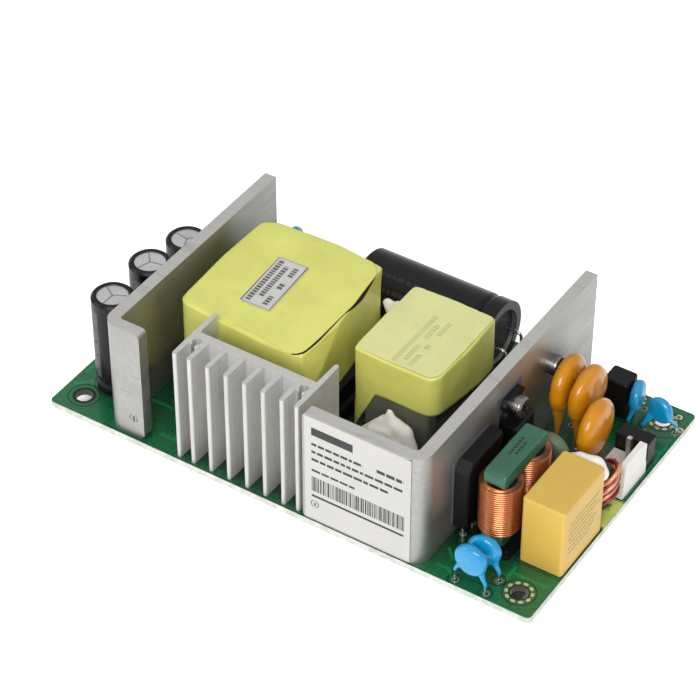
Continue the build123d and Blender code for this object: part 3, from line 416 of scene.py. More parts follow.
class Sheet:
    """Collects thin flat shapes that lie on one plane, then makes them one piece."""

    def __init__(self, origin, u=(1, 0, 0), v=(0, 1, 0)):
        self.o, self.u, self.v = Vector(origin), Vector(u), Vector(v)
        self.n = self.u.cross(self.v).normalized()
        self.verts, self.faces = [], []

    def at(self, p, h):
        """A point of the sheet, kept within the board's outline."""
        q = self.o + self.u * p[0] + self.v * p[1] + self.n * h
        reach_x, reach_y = BOARD_X - 0.1, BOARD_Y - 0.05
        return (max(-reach_x, min(reach_x, q.x)), max(-reach_y, min(reach_y, q.y)), q.z)

    def shape(self, outline, thick=0.03, base=0.0):
        """A thin raised shape with the outline given anticlockwise."""
        k, n = len(self.verts), len(outline)
        self.verts += [self.at(p, base) for p in outline] + [self.at(p, base + thick) for p in outline]
        self.faces.append(tuple(k + n + i for i in range(n)))
        for i in range(n):
            j = (i + 1) % n
            self.faces.append((k + i, k + j, k + n + j, k + n + i))

    def bar(self, x0, x1, y0, y1, thick=0.03):
        self.shape([(x0, y0), (x1, y0), (x1, y1), (x0, y1)], thick)

    def oval(self, x, y, rx, ry, turn):
        self.shape([rotated(x, y, rx * math.cos(a), ry * math.sin(a), turn) for a in circle(10)])

    def line(self, pts, width, closed=False, thick=0.03, base=0.0):
        """A thin strip along a path, with mitred corners."""
        n = len(pts)
        left, right = [], []
        for i in range(n):
            if closed:
                a, b = pts[i - 1], pts[(i + 1) % n]
            else:
                a, b = pts[max(i - 1, 0)], pts[min(i + 1, n - 1)]
            along = Vector((b[0] - a[0], b[1] - a[1])).normalized()
            mitre = 1.0
            if closed or 0 < i < n - 1:
                q = pts[(i + 1) % n]
                ahead = Vector((q[0] - pts[i][0], q[1] - pts[i][1])).normalized()
                mitre = 1 / max(0.5, along.dot(ahead))
            side = Vector((-along.y, along.x)) * width / 2 * mitre
            left.append((pts[i][0] + side.x, pts[i][1] + side.y))
            right.append((pts[i][0] - side.x, pts[i][1] - side.y))
        for i in range(n if closed else n - 1):
            j = (i + 1) % n
            self.shape([right[i], right[j], left[j], left[i]], thick, base)

    def ring(self, x, y, r, width, thick=0.03, n=40):
        self.line([polar(x, y, r, a) for a in circle(n)], width, True, thick)

    def dashes(self, rows, lengths, gap, thick, sideways=False):
        """Rows of dashes, each row given by its two edges and its two ends, in place of printed words."""
        for low, high, start, end in rows:
            at = start
            while at < end:
                length = rng.uniform(*lengths) if isinstance(lengths, tuple) else lengths
                stop = min(at + length, end)
                if sideways:
                    self.bar(at, stop, low, high, thick)
                else:
                    self.bar(low, high, at, stop, thick)
                at += length + gap

    def make(self, name, mat, slot):
        return piece(name, self.verts, self.faces, mat, slot)


def along_path(corners, step, soften):
    """Points at even steps round a closed outline, with its corners rounded by a smoothing pass."""
    pts = []
    n = len(corners)
    for k in range(n):
        a, b = Vector(corners[k]), Vector(corners[(k + 1) % n])
        m = max(1, round((b - a).length / step))
        pts += [a + (b - a) * i / m for i in range(m)]
    n = len(pts)
    for _ in range(soften):
        pts = [(pts[i - 1] + pts[i] * 2 + pts[(i + 1) % n]) / 4 for i in range(n)]
    return pts


def skin(rings, close_end=True, close_start=False, first=0):
    """Joins rings of equal length into one surface, whose points are counted from first on."""
    n = len(rings[0])
    verts = [p for ring in rings for p in ring]
    faces = []
    for k in range(first, first + (len(rings) - 1) * n, n):
        for i in range(n):
            j = (i + 1) % n
            faces.append((k + i, k + j, k + n + j, k + n + i))
    if close_end:
        faces.append(tuple(first + (len(rings) - 1) * n + i for i in range(n)))
    if close_start:
        faces.append(tuple(first + n - 1 - i for i in range(n)))
    return verts, faces


def rough_up(verts, amount, scale, seed):
    """Moves points a little along a smooth random field."""
    out = []
    for x, y, z in verts:
        v = noise.noise_vector(Vector((x * scale + seed, y * scale, z * scale)))
        out.append((x + v.x * amount, y + v.y * amount, z + v.z * amount))
    return out


def thicken(obj, thickness):
    mod = obj.modifiers.new("thick", "SOLIDIFY")
    mod.thickness = thickness * MM
    mod.offset = -1


# Tape wraps


def tape_wrap(name, corners, z0, z1, edge, node, shape, seed, soften, levels):
    """A tape-wrapped block: an outline carried up to a soft top edge, then closed by a slack top."""
    base = along_path(corners, 0.55, soften)
    cx = sum(p.x for p in base) / len(base)
    cy = sum(p.y for p in base) / len(base)
    rings = []
    for k in range(levels):
        z = z0 + (z1 - edge - z0) * k / (levels - 1)
        rings.append([shape(p.x, p.y, z) for p in base])
    last = rings[-1]
    reach = 15
    for i in range(1, 10):
        a = QUARTER * i / 9
        # the edge turns in towards the middle, which lies about this far from it
        k = 1 - edge * (1 - math.cos(a)) / reach
        rings.append([(cx + (x - cx) * k, cy + (y - cy) * k, z + edge * math.sin(a)) for x, y, z in last])
    last = rings[-1]
    sag = 0.2
    for k in (0.96, 0.9, 0.82, 0.72, 0.6, 0.46, 0.32, 0.2, 0.1, 0.03):
        rings.append([(cx + (x - cx) * k, cy + (y - cy) * k, z1 + (z - z1) * k - sag * (1 - k))
                      for x, y, z in last])
    verts, faces = skin(rings)
    verts = rough_up(rough_up(verts, 0.2, 0.11, seed), 0.05, 0.5, seed + 4)
    obj = piece(name, verts, faces, M["yellow_tape"], "yellow_tape", True)
    obj.data.set_sharp_from_angle(angle=math.radians(17))
    thicken(obj, 0.4)
    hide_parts(node)


def gap_height(y):
    """How far the top sheet stands off the wrap along its right edge: a low lift and a high one behind it."""
    return 0.62 * clamp(1 - abs(y + 13.5) / 8.5) ** 0.7 + 1.7 * clamp(1 - abs(y - 5.0) / 7.5) ** 0.8


def transformer_shape(x, y, z):
    """Folds in the front right corner, lifts the lower end there and sinks the wrap under the loose sheet."""
    below_top = z - TOP - 27.8
    fold = -5.75 + 0.0504 * (y + 19.1) - 0.189 * below_top
    side = -5.0 - 0.12 * (y + 5.2) + 0.03 * below_top
    x = min(x, fold, side)
    right = clamp((x + 12) / 6)
    upper = max(0.0, (below_top + 7.8) / 8)
    lift = 3.0 * clamp((x + 9) / 2.5) * max(0.0, 1 - (z - 5.6) / 18)
    tuck = 0.5 * right * max(0.0, (below_top + 5.8) / 6) if y < -17 else 0.0
    return (x, y + tuck, z + lift - gap_height(y) * right ** 2 * upper)


def choke_shape(x, y, z):
    """The choke's tape ends higher on its front and right, down to a slanted end at its left corner."""
    low = 3.0
    if y < -8.6:
        low = min(15.0, 2 + max(0.0, x - 1.2) * 2.3)
    if x > 21.4:
        low = 15 - 3.4 * clamp((y + 8) / 18)
    wrap_low, high = 5.0, TOP + 25.0
    return (x, y, TOP + low + (high - TOP - low) * (z - wrap_low) / (high - wrap_low))


def drawn_in(p, centre, k):
    return (centre[0] + (p.x - centre[0]) * k, centre[1] + (p.y - centre[1]) * k)


# The transformer's bobbin rim: its black moulding is real, and it is carried out past the tape on the right,
# painted shade standing for the shadow on the board between the transformer and the choke
outline = [(-37.2, -17.6), (-6.4, -18.2), (-2.6, -16.6), (-2.6, 12.0), (-7.0, 14.2), (-37.4, 14.2)]
rim_path = along_path(outline, 1.0, 3)
steps = ((0.2, 1.0), (3.6, 1.0), (3.9, 0.985), (4.0, 0.93), (4.4, 0.925), (8.6, 0.92), (8.8, 0.9))
rings = [[(*drawn_in(p, (-21.5, -1.8), k), TOP + z) for p in rim_path] for z, k in steps]
piece("transformer_bobbin_rim_and_shade", *skin(rings, True, True), M["black_moulding"], "black_moulding")

body = [(-38.2, -19.0), (-28, -20.1), (-17, -20.7), (-9, -21.0), (-4.6, -20.0), (-3.0, -18.6), (-3.0, 13.5),
        (-8.0, 16.0), (-21, 17.3), (-36.5, 16.6), (-40.2, 14.6), (-40.5, 0), (-39.6, -17.6)]
tape_wrap("transformer_tape_wrap", body, 5.6, TRANSFORMER_TOP - 0.05, 0.7, "main_transformer_tape",
          transformer_shape, 3.0, 4, 34)
body = [(1.1, -9.9), (12, -10.1), (20.9, -9.95), (22.65, -8.3), (22.9, 3), (22.6, 16.1), (12, 16.4),
        (1.2, 16.1), (0.8, 3)]
tape_wrap("choke_tape_wrap", body, 5.0, CHOKE_TOP, 0.6, "pfc_choke_tape", choke_shape, 9.0, 6, 20)

# The top layer of tape on the transformer, which stands off along its right edge over a gap that holds a
# painted shadow strip
sheet = [(-38.6, -18.2), (-34, -18.9), (-26.8, -19.6), (-17.5, -19.9), (-13.5, -20.9), (-9.5, -21.2),
         (-7.2, -20.3), (-5.9, -19.1), (-5.6, -14), (-5.6, -6.7), (-5.5, 1), (-6.2, 7), (-7.0, 12.3),
         (-7.4, 13.6), (-9.6, 15.9), (-21.3, 17.0), (-36.6, 16.3), (-39.7, 14.3), (-40.1, 0), (-39.4, -16.8)]
sheet_path = along_path(sheet, 0.8, 2)
sheet_centre = (-23.0, -1.8)


def sheet_height(x, y):
    return 0.06 + max(0.0, (x + 15) / 9) ** 2 * (0.1 + 0.12 * gap_height(y))


rings = []
for k in (1.0, 0.985, 0.95, 0.88, 0.78, 0.66, 0.52, 0.38, 0.24, 0.12, 0.04):
    ring = []
    for p in sheet_path:
        x, y = drawn_in(p, sheet_centre, k)
        curl = 0.12 * max(0.0, (k - 0.95) / 0.05) if x < -7 else 0.0
        ring.append((x, y, TRANSFORMER_TOP + sheet_height(x, y) - curl))
    rings.append(ring)
verts, faces = skin(rings)
flap = piece("transformer_top_tape", rough_up(verts, 0.09, 0.2, 5.0), faces, M["yellow_tape"], "yellow_tape",
             True)
thicken(flap, 0.12)

# painted shadow: a near-black strip hangs under the sheet's right edge to darken the gap
verts, faces = [], []
for k, p in enumerate([p for p in sheet_path if p.x > -8.6 and p.y < 13.6]):
    x, y = drawn_in(p, sheet_centre, 1.002)
    z = TRANSFORMER_TOP - 0.1 + sheet_height(x, y)
    verts += [(x, y, z), (x, y, z - 0.2 - gap_height(y))]
    if k:
        faces.append((2 * k - 2, 2 * k - 1, 2 * k + 1, 2 * k))
piece("transformer_tape_gap_shadow", verts, faces, plain("painted_gap_shadow", lin(14, 14, 12), 0.9), "black_moulding")

# A second turn of tape whose end shows as a step along the front of the top
step = Sheet((0, 0, TRANSFORMER_TOP + 0.06))
step.line([(-30, -19.4), (-26, -18.9), (-17.5, -19.2), (-10.5, -20.6)], 0.5, thick=0.1)
step.make("transformer_tape_end", M["yellow_tape"], "yellow_tape")

# Labels and printed rows: plain film or paper with generic bars
slip_u, slip_v, slip_z = (0.998, 0.03, 0), (-0.06, 0.998, 0), TRANSFORMER_TOP + 0.22
label = Sheet((-27.9, -11.8, slip_z), slip_u, slip_v)
label.bar(0, 8.0, 0, 17.6, 0.05)
label.make("transformer_label", PAPER, "silicone")
bars = Sheet((-27.9, -11.8, slip_z + 0.06), slip_u, slip_v)
bars.line([(0.25, 0.25), (7.75, 0.25), (7.75, 17.35), (0.25, 17.35)], 0.16, True, 0.02)
bars.dashes([(x, x + 1.25, a, b) for x, a, b in
             ((0.9, 1.0, 16.8), (2.9, 3.6, 15.2), (5.2, 1.4, 4.6), (5.2, 7.6, 9.8), (5.2, 12.4, 15.8))],
            (0.45, 0.8), 0.3, 0.02)
bars.make("transformer_label_bars", SOFT_INK, "black_moulding")

top_layer = Sheet((0, 0, CHOKE_TOP + 0.07))
ragged = along_path([(1.6, -9.4), (12, -9.6), (20.6, -9.45), (22.15, -7.9), (22.4, 3), (22.15, 15.6),
                     (12, 15.9), (1.7, 15.6), (1.3, 3)], 0.7, 2)
top_layer.shape([(p.x + rng.uniform(-0.1, 0.1), p.y + rng.uniform(-0.1, 0.1)) for p in ragged], 0.06)
top_layer.make("choke_top_layer", tape_material("pale_top_tape", lin(222, 222, 154)), "yellow_tape")
rows = Sheet((10.3, -9.0, CHOKE_TOP + 0.135), v=(0.01, 1, 0))
rows.dashes([(x, x + 1.2, a, b) for x, a, b in
             ((0.0, 0.2, 18.0), (2.0, 1.8, 7.6), (2.0, 10.2, 15.6), (3.9, 0.6, 5.0), (3.9, 7.2, 9.0),
              (3.9, 12.5, 17.5))], (0.4, 0.8), 0.26, 0.02)
rows.make("choke_tape_bars", FAINT_INK, "yellow_tape")

rows = Sheet((LINE_CHOKE_X - 1.1, -17.6, TOP + 22.2))
rows.dashes([(0.2, 0.9, 0.2, 6.6), (1.4, 2.1, 1.0, 5.6)], 0.8, 0.3, 0.015)
rows.make("line_choke_bars", GREEN_INK, "green_core_coating")

rows = Sheet((63.1, -22.2, TOP + 3.6), (0, 1, 0), (0, 0, 1))
rows.dashes([(z, z + 0.6, a, b) for z, a, b in
             ((9.6, 1.0, 13.6), (8.2, 0.6, 12.4), (6.8, 0.8, 14.0), (5.4, 0.6, 11.0), (4.0, 1.2, 13.0),
              (2.6, 0.8, 12.0), (1.2, 1.0, 10.4))], (0.5, 1.5), 0.3, 0.015, True)
rows.make("x_capacitor_bars", CASE_INK, "yellow_case")

verts, faces = [], []
for angle, start, stop in ((1.15, -14, 8), (0.75, -15, 12), (0.35, -12, 6)):
    x = start
    while x < stop:
        length = rng.uniform(0.8, 2.2)
        k = len(verts)
        verts += [(px, *polar(BULK_Y, BULK_Z, BULK_R + 0.03, math.pi - angle + q))
                  for px in (x, x + length) for q in (-0.055, 0.055)]
        faces.append((k, k + 2, k + 3, k + 1))
        x += length + 0.45
piece("bulk_capacitor_bars", verts, faces, SLEEVE_INK, "black_sleeve")


def dimple(name, place, r, mat, slot):
    """A small pressed mark on a flange: an upright shallow dish with a raised rim."""
    x, y, z = place
    profile = ((1.0, 0.0), (0.86, 0.1), (0.7, 0.12), (0.5, 0.04), (0.2, 0.01))
    rings = [[(x + r * q * math.cos(a), y - h, z + 1.5 * r * q * math.sin(a)) for a in circle(24)]
             for q, h in profile]
    piece(name, *skin(rings), mat, slot, True)


outlet_mark, inlet_mark = (-39.99, -37.0, TOP + 5.25), (9.47, -37.97, TOP + 5.2)
for name, place, r, width, bar, slot in (
    ("outlet_flange_ring", outlet_mark, 1.0, 0.22, (-0.15, 0.35, -0.9, 0.5, 0.14), "plate_aluminium"),
    ("inlet_flange_ring", inlet_mark, 0.95, 0.2, (-0.1, 0.3, -0.8, 0.5, 0.1), "silicone"),
):
    marks = Sheet(place, v=(0, 0, 1))
    marks.ring(0, 0, r, width, 0.02)
    marks.bar(*bar)
    marks.make(name, SOFT_INK, slot)
dimple("outlet_flange_mark", outlet_mark, 0.8, M["plate_aluminium"], "plate_aluminium")
dimple("inlet_flange_mark", inlet_mark, 0.7, FILM, "silicone")

# Board print, pads, traces and the bare patch
print_top, pads_top, rings_top, trace_top = (Sheet((0, 0, TOP)) for _ in range(4))
pads_low, trace_low = (Sheet((0, 0, 0), v=(0, -1, 0)) for _ in range(2))
for sx in (-1, 1):
    for sy in (-1, 1):
        hx, hy = sx * HOLE_X, sy * HOLE_Y
        print_top.ring(hx, hy, 3.75, 0.22)
        print_top.ring(hx, hy, 2.2, 0.3)
        pads_low.ring(hx, -hy, 2.8, 1.2)
        if sx < 0 and sy < 0:
            print_top.ring(hx, hy, 2.5, 0.5)
            continue
        for i in range(10):
            a = 2 * math.pi * (i + 0.5) / 10
            pads_top.oval(*polar(hx, hy, 2.85, a), 0.42, 0.62, a)

# Outlines printed round the parts
for x0, x1, y0, y1 in (
    (52.1, 63.1, -24.7, -5.6), (40.4, 51.6, -27.2, -4.0), (5.6, 37.4, -38.0, -34.2),
    (-48.0, -36.6, -37.6, -33.4), (-29.0, 6.0, -38.0, -27.6), (-40.6, -7.0, -21.6, 18.4),
    (0.2, 23.6, -10.8, 17.0), (-20.2, 24.6, 18.6, 37.4), (53.9, 63.2, 3.6, 15.4),
    (-62.6, -53.4, 9.6, 26.6), (43.4, 51.0, 27.2, 34.2),
):
    print_top.line([(x0, y0), (x1, y0), (x1, y1), (x0, y1)], 0.2, True)
half, r = 3.6, 1.7
for x, y, turn in ((48.0, -36.5, 0), (48.5, -31.7, 0), (52.1, 29.9, QUARTER), (58.85, 28.4, 0.485)):
    print_top.line([rotated(x, y, r * math.cos(a) + math.copysign(half, math.cos(a)), r * math.sin(a), turn)
                    for a in circle(24)], 0.2, True)
for y, _ in OUTPUT_CAPS:
    print_top.ring(OUTPUT_CAP_X, y, 5.5, 0.2)
for x, y in ((60.4, 35.4), (62.6, 31.6), (56.6, 35.2), (55.0, 36.6), (-37.0, 33.8), (39.4, 34.0)):
    pads_top.ring(x, y, 0.62, 0.5)
    print_top.ring(x, y, 1.15, 0.16)

# A pad round each lead and pin, found from the ends that stand out below the board
grid = 1.6
ends = {}
for name in nodes:
    if name.endswith(("_leads", "_pins")) and name != "bulk_capacitor_leads":
        for v in nodes[name].data.vertices:
            if v.co.z < -1.25 * MM:
                x, y = v.co.x / MM, v.co.y / MM
                ends.setdefault((round(x / grid), round(y / grid)), []).append((x, y))
spots = []
for group in ends.values():
    x, y = (sum(values) / len(group) for values in zip(*group))
    if all(math.hypot(x - a, y - b) > 1.3 for a, b in spots):
        spots.append((x, y))
for x, y in spots:
    pads_low.ring(x, -y, 1.05, 0.8, n=20)
    if math.hypot(x - ROD_X, y - ROD_Y) > 5:
        rings_top.ring(x, y, 0.7, 0.3, n=16)

# Traces, each a little thicker than the last so that no two tops lie in one plane
order = sorted(spots, key=lambda p: (round(p[0] / 9), p[1]))
for k, (a, b) in enumerate(zip(order, order[1:])):
    dx, dy = b[0] - a[0], b[1] - a[1]
    d = math.hypot(dx, dy)
    if 3 < d < 22:
        bend = (a[0], b[1] - math.copysign(min(abs(dx), abs(dy)), dy))
        trace_low.line([(x, -y) for x, y in (a, bend, b)], 1.1 if d > 9 else 0.7, thick=0.02 + 0.0003 * k)
traces = (
    ([(-62.4, -30.5), (-59.5, -27.6), (-50.5, -27.6)], 1.2), ([(-62.2, -26), (-62.2, 6), (-60.2, 8)], 0.8),
    ([(-35.6, -33.4), (-31.5, -33.4), (-31.5, -23)], 1.4), ([(-34.5, -25), (-44, -25)], 0.8),
    ([(38.4, -34.5), (41.6, -34.5), (43.2, -36.2)], 0.7), ([(38.2, -29), (40.6, -31.4), (43.4, -31.6)], 0.7),
    ([(53, -28), (61.4, -28), (62.6, -27)], 0.8), ([(53.4, -31.4), (53.4, -26)], 0.8),
    ([(-42, 36.6), (-22, 36.6)], 1.0), ([(26, 34.6), (30.6, 30)], 0.9), ([(25.4, -6), (31, -6)], 0.9),
    ([(-5.6, -12), (-5.6, 12)], 1.2), ([(39, 24), (39, 36)], 0.8), ([(55, 22.4), (62.4, 22.4)], 0.9),
    ([(-34, 34), (-24, 34), (-22, 31)], 0.8), ([(62.6, 6), (62.6, 26)], 0.5),
)
for k, (pts, width) in enumerate(traces):
    trace_top.line(pts, width, thick=0.02 + 0.0008 * k)
for x, y in ((44.25, -36.5), (51.75, -36.5), (52.25, -31.7)):
    print_top.ring(x, y, 1.5, 0.17)
print_top.make("board_print", PRINT, "laminate")
pads_top.make("board_top_pads", PADS, "solder")
rings_top.make("board_top_rings", DULL_PADS, "solder")
pads_low.make("board_bottom_pads", PADS, "solder")
trace_top.make("board_top_traces", TRACE, "laminate")
trace_low.make("board_bottom_traces", TRACE, "laminate")
patch = Sheet((0, 0, TOP))
patch.shape([(58.6, -6.0), (63.4, -6.0), (63.4, 4.0), (60.4, 3.8), (58.6, 1.4)], 0.02)
patch.make("board_bare_patch", PATCH, "laminate")

# Sticker on the front flange of the input heatsink: blank film with generic bars
film = Sheet((6.7, -37.9, TOP + 0.4), v=(0, 0, 1))
film.bar(0.2, 27.0, 0.2, 29.7, 0.06)
film.make("flange_sticker", FILM, "silicone")
marks = Sheet((6.7, -37.96, TOP + 0.4), v=(0, 0, 1))
marks.bar(2.0, 12.5, 24.8, 27.0, 0.015)
marks.dashes([(21.9, 22.6, 2.0, 15.0), (19.7, 20.4, 2.0, 25.0), (17.5, 18.2, 2.0, 21.5),
              (22.2, 23.1, 18.5, 25.2), (14.4, 15.0, 2.0, 13.0)], (0.8, 2.4), 0.35, 0.015, True)
x = 2.0
while x < 25.4:
    width = rng.choice((0.12, 0.12, 0.24, 0.36))
    marks.bar(x, x + width, 8.6, 12.8, 0.015)
    x += width + rng.choice((0.14, 0.14, 0.26))
marks.bar(2.0, 25.4, 6.9, 7.5, 0.015)
marks.make("flange_sticker_bars", INK, "black_moulding")

# Output capacitors: scored tops, drawn as darker strips of painted shade standing for the grooves, and a pale
# stripe down each sleeve
scores = Sheet((0, 0, 0))
for (y, height), turn in zip(OUTPUT_CAPS, (0.5, 0.2, 0.9)):
    for a in circle(3):
        scores.line([(OUTPUT_CAP_X, y), polar(OUTPUT_CAP_X, y, 3.3, turn + a)], 0.3, thick=0.05,
                    base=TOP + height - 0.05)
scores.make("vent_scores", plain("score_groove_shade", lin(150, 151, 154), 0.45, 0.8), "capacitor_aluminium")


def stripe(name, x, y, z0, z1, mid, dash_heights):
    """A pale stripe down a sleeve, with darker dashes on it."""
    r, half, cols = 5.02, 0.16, 8
    across = [mid - half + 2 * half * i / cols for i in range(cols + 1)]
    verts = [(*polar(x, y, r, a), z) for z in (z0, z1) for a in across]
    faces = [(i, i + 1, cols + 2 + i, cols + 1 + i) for i in range(cols)]
    piece(name, verts, faces, SLEEVE_MARK, "black_sleeve", True)
    verts, faces = [], []
    for z in dash_heights:
        k = len(verts)
        verts += [(*polar(x, y, r + 0.02, mid + s * half), z + h)
                  for h in (-0.35, 0.35) for s in (-0.55, 0.55)]
        faces.append((k, k + 1, k + 3, k + 2))
    piece(name + "_dashes", verts, faces, INK, "black_sleeve")


for i, (y, height) in enumerate(OUTPUT_CAPS):
    stripe("sleeve_stripe_%d" % i, OUTPUT_CAP_X, y, TOP + 4.6, TOP + height - 2.4, -1.9 + 0.3 * i,
           [TOP + 7 + 4 * k for k in range(4)])

# Windings


def shaded_turns_material(name, cy, z0, pitch, color):
    """Enamelled turns, with a painted highlight on the crown of each wire and painted shade in the groove
    between two.
    """
    s = Shader(name)
    place = s.split(s.coord)
    angle = s.maths("ARCTAN2", s.maths("SUBTRACT", place["Y"], cy * MM),
                    s.maths("SUBTRACT", place["X"], LINE_CHOKE_X * MM))
    climb = s.maths("DIVIDE", s.maths("SUBTRACT", place["Z"], z0 * MM), pitch * MM)
    turn = s.maths("SUBTRACT", climb, s.maths("DIVIDE", angle, 2 * math.pi))
    lit_crown = s.maths("ABSOLUTE", s.maths("SINE", s.maths("MULTIPLY", turn, math.pi)))
    shade = s.ramp(lit_crown, [(0.12, scaled(color, 0.12)), (0.6, color), (0.95, scaled(color, 1.2))])
    drift = s.noise(260.0, 3.0)
    shade = s.mix(s.span(drift, 0.0, 0.3), shade, scaled(color, 0.6))
    s.set(Base_Color=shade, Metallic=0.85, Roughness=s.span(drift, 0.24, 0.34))
    s.coat(0.4, 0.15)
    return s.mat


def wound_surface(cy, z0, high, turns):
    """A ridged tube in which each ridge is one turn of the wire, closed towards the core at both ends."""
    levels, inner = 168, 2.75
    rings = [[(*polar(LINE_CHOKE_X, cy, inner, a), z0) for a in circle(72)]]
    for k in range(levels + 1):
        ring = []
        for a in circle(72):
            turn = turns * k / levels - (a if a <= math.pi else a - 2 * math.pi) / (2 * math.pi)
            wobble = 0.03 * noise.noise(Vector((turn * 0.7, cy, 0)))
            r = 4.58 + 0.26 * abs(math.sin(math.pi * turn)) + wobble
            ring.append((*polar(LINE_CHOKE_X, cy, r, a), z0 + high * k / levels))
        rings.append(ring)
    rings.append([(*polar(LINE_CHOKE_X, cy, inner, a), z0 + high + 0.02) for a in circle(72)])
    return skin(rings, False)


for n, y in enumerate(LINE_CHOKE_Y):
    z0, high, turns = TOP + 5.25, 12.9, 21
    mat = shaded_turns_material("wound_copper_%d" % n, y, z0, high / turns, lin(206, 122, 72))
    obj = piece("line_choke_wire_%d" % n, *wound_surface(y, z0, high, turns), mat, "copper", True)
    if n == 0:
        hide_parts("line_choke_windings")

# Dipped discs: a lens of resin that runs down both wires in narrowing legs

# Half of the lens's profile, as shares of its radius and its thickness
LENS = ((0.06, 0.4998), (0.15, 0.499), (0.3, 0.495), (0.45, 0.487), (0.58, 0.472), (0.69, 0.448),
        (0.78, 0.41), (0.86, 0.353), (0.92, 0.28), (0.965, 0.185), (0.99, 0.09))


def lens_rings(x, y, z, r, t, face):
    profile = LENS + ((1.0, 0.0),) + tuple((q, -h) for q, h in reversed(LENS))
    return [[(*rotated(x, y, q * r * math.cos(a), h * t, face), z + q * r * math.sin(a)) for a in circle(64)]
            for q, h in profile]


def leg_rings(top, foot, leg, face, wave):
    """One coated wire; leg holds the half width and half thickness at its top and its radius at the foot."""
    top_wide, top_thin, foot_r = leg
    steps = 15
    rings = []
    for k in range(steps):
        q = k / (steps - 1)
        out = min(1.0, q * 1.25) ** 0.9
        x, y = top[0] + (foot[0] - top[0]) * out, top[1] + (foot[1] - top[1]) * out
        z = top[2] + (foot[2] - top[2]) * q
        ease = (1 - q) ** 2
        wide = foot_r + (top_wide - foot_r) * ease
        thin = foot_r + (top_thin - foot_r) * ease
        if k == steps - 1:
            wide = thin = foot_r * 0.6
        bulge = 0.05 * math.sin(7 * q + wave) * (1 - q)
        wide, thin = wide + bulge, thin + bulge * 0.6
        rings.append([(*rotated(x, y, wide * math.cos(a), thin * math.sin(a), face), z) for a in circle(16)])
    return rings


def dipped_discs(name, places, r, t, pitch, leg, slot, node, seed):
    """The discs of one kind as one piece, each twisted a little on its wires.

    A place holds x, y, the height of the middle over the board, the turn of the pair of wires, the heights
    at which the coating ends on them, the disc's twist against them and its size.
    """
    verts, faces = [], []
    for n, (x, y, lift, turn, feet, twist, size) in enumerate(places):
        face, z = turn + twist, TOP + lift
        parts = [(lens_rings(x, y, z, r * size, t * size, face), True)]
        for side, foot_lift in zip((-1, 1), feet):
            top = (*rotated(x, y, side * r * size * 0.46, 0, face), z - 0.45 * r * size)
            foot = (*rotated(x, y, side * pitch / 2, 0, turn), TOP + foot_lift)
            parts.append((leg_rings(top, foot, leg, face, n + side), False))
        for rings, close_start in parts:
            more_verts, more_faces = skin(rings, True, close_start, len(verts))
            verts += more_verts
            faces += more_faces
    obj = piece(name, rough_up(verts, 0.16, 0.45, seed), faces, M[slot], slot, True)
    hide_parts(node)


dipped_discs("blue_discs", [
    (48.0, -36.44, 7.9, 0, (2.7, 1.5), -0.05, 1.0), (48.5, -31.7, 7.2, 0, (2.2, 1.6), 0.12, 0.98),
    (52.1, 29.95, 6.7, QUARTER, (1.6, 2.2), 0.2, 0.95),
    (58.85, 28.4, 6.7, math.radians(27.8), (1.5, 1.9), -0.72, 0.84),
    (-42.3, 30.9, 9.6, QUARTER, (2.4, 3.0), 0.08, 1.0),
], 4.0, 3.0, 7.5, (1.55, 1.05, 0.42), "blue_coating", "y_capacitor_discs", 2.0)
dipped_discs("orange_discs", [
    (41.2, 16.2, 15.4, QUARTER, (1.8, 2.2), 0.03, 1.0), (46.6, 15.5, 15.4, QUARTER, (2.2, 1.7), -0.03, 1.0),
    (52.4, 9.0, 13.0, QUARTER, (2.0, 1.7), 0.02, 1.0),
], 7.0, 4.5, 7.5, (2.9, 1.9, 0.5), "orange_coating", "varistor_discs", 6.0)
dipped_discs("grey_green_disc", [
    (46.4, -0.9, 10.8, 0, (1.8, 2.4), 0.1, 1.0),
], 4.9, 4.0, 6.0, (1.6, 1.2, 0.5), "grey_green_coating", "thermistor_disc", 8.0)


def slanted_coil(start, z0, z1, turns, r, steps=36):
    """Turns that lean over, as in a coil that was pushed aside."""
    pts = []
    n = int(turns * steps)
    for i in range(n + 1):
        a = start + 2 * math.pi * i / steps
        x, y = polar(0, 0, r + 0.22 * math.sin(1.7 * a + start), a)
        lean = 0.42 + 0.36 * i / n
        pts.append((ROD_X + x, ROD_Y + y, z0 + (z1 - z0) * i / n + lean * (0.84 * x + 0.54 * y)))
    return pts


for i, mat in enumerate((wire_material("pale_copper_enamel", lin(224, 146, 106), 0.26, 0.5),
                         wire_material("dark_red_enamel", lin(122, 30, 18), 0.25, 0.3))):
    path = slanted_coil(0.4 + math.pi * i, TOP + 3.3, TOP + 9.8, 3.0, 3.5 + 0.08 * i)
    obj = wire("rod_choke_wire_%d" % i, path, 0.5, mat)
    if i == 0:
        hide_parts("rod_choke_winding")

# Silicone mounds


def strand(p, a, b, ra, rb):
    """Distance from a point to a round strand that tapers from one radius to another."""
    ab = b - a
    t = clamp((p - a).dot(ab) / ab.length_squared)
    return (p - a - ab * t).length - (ra + (rb - ra) * t)


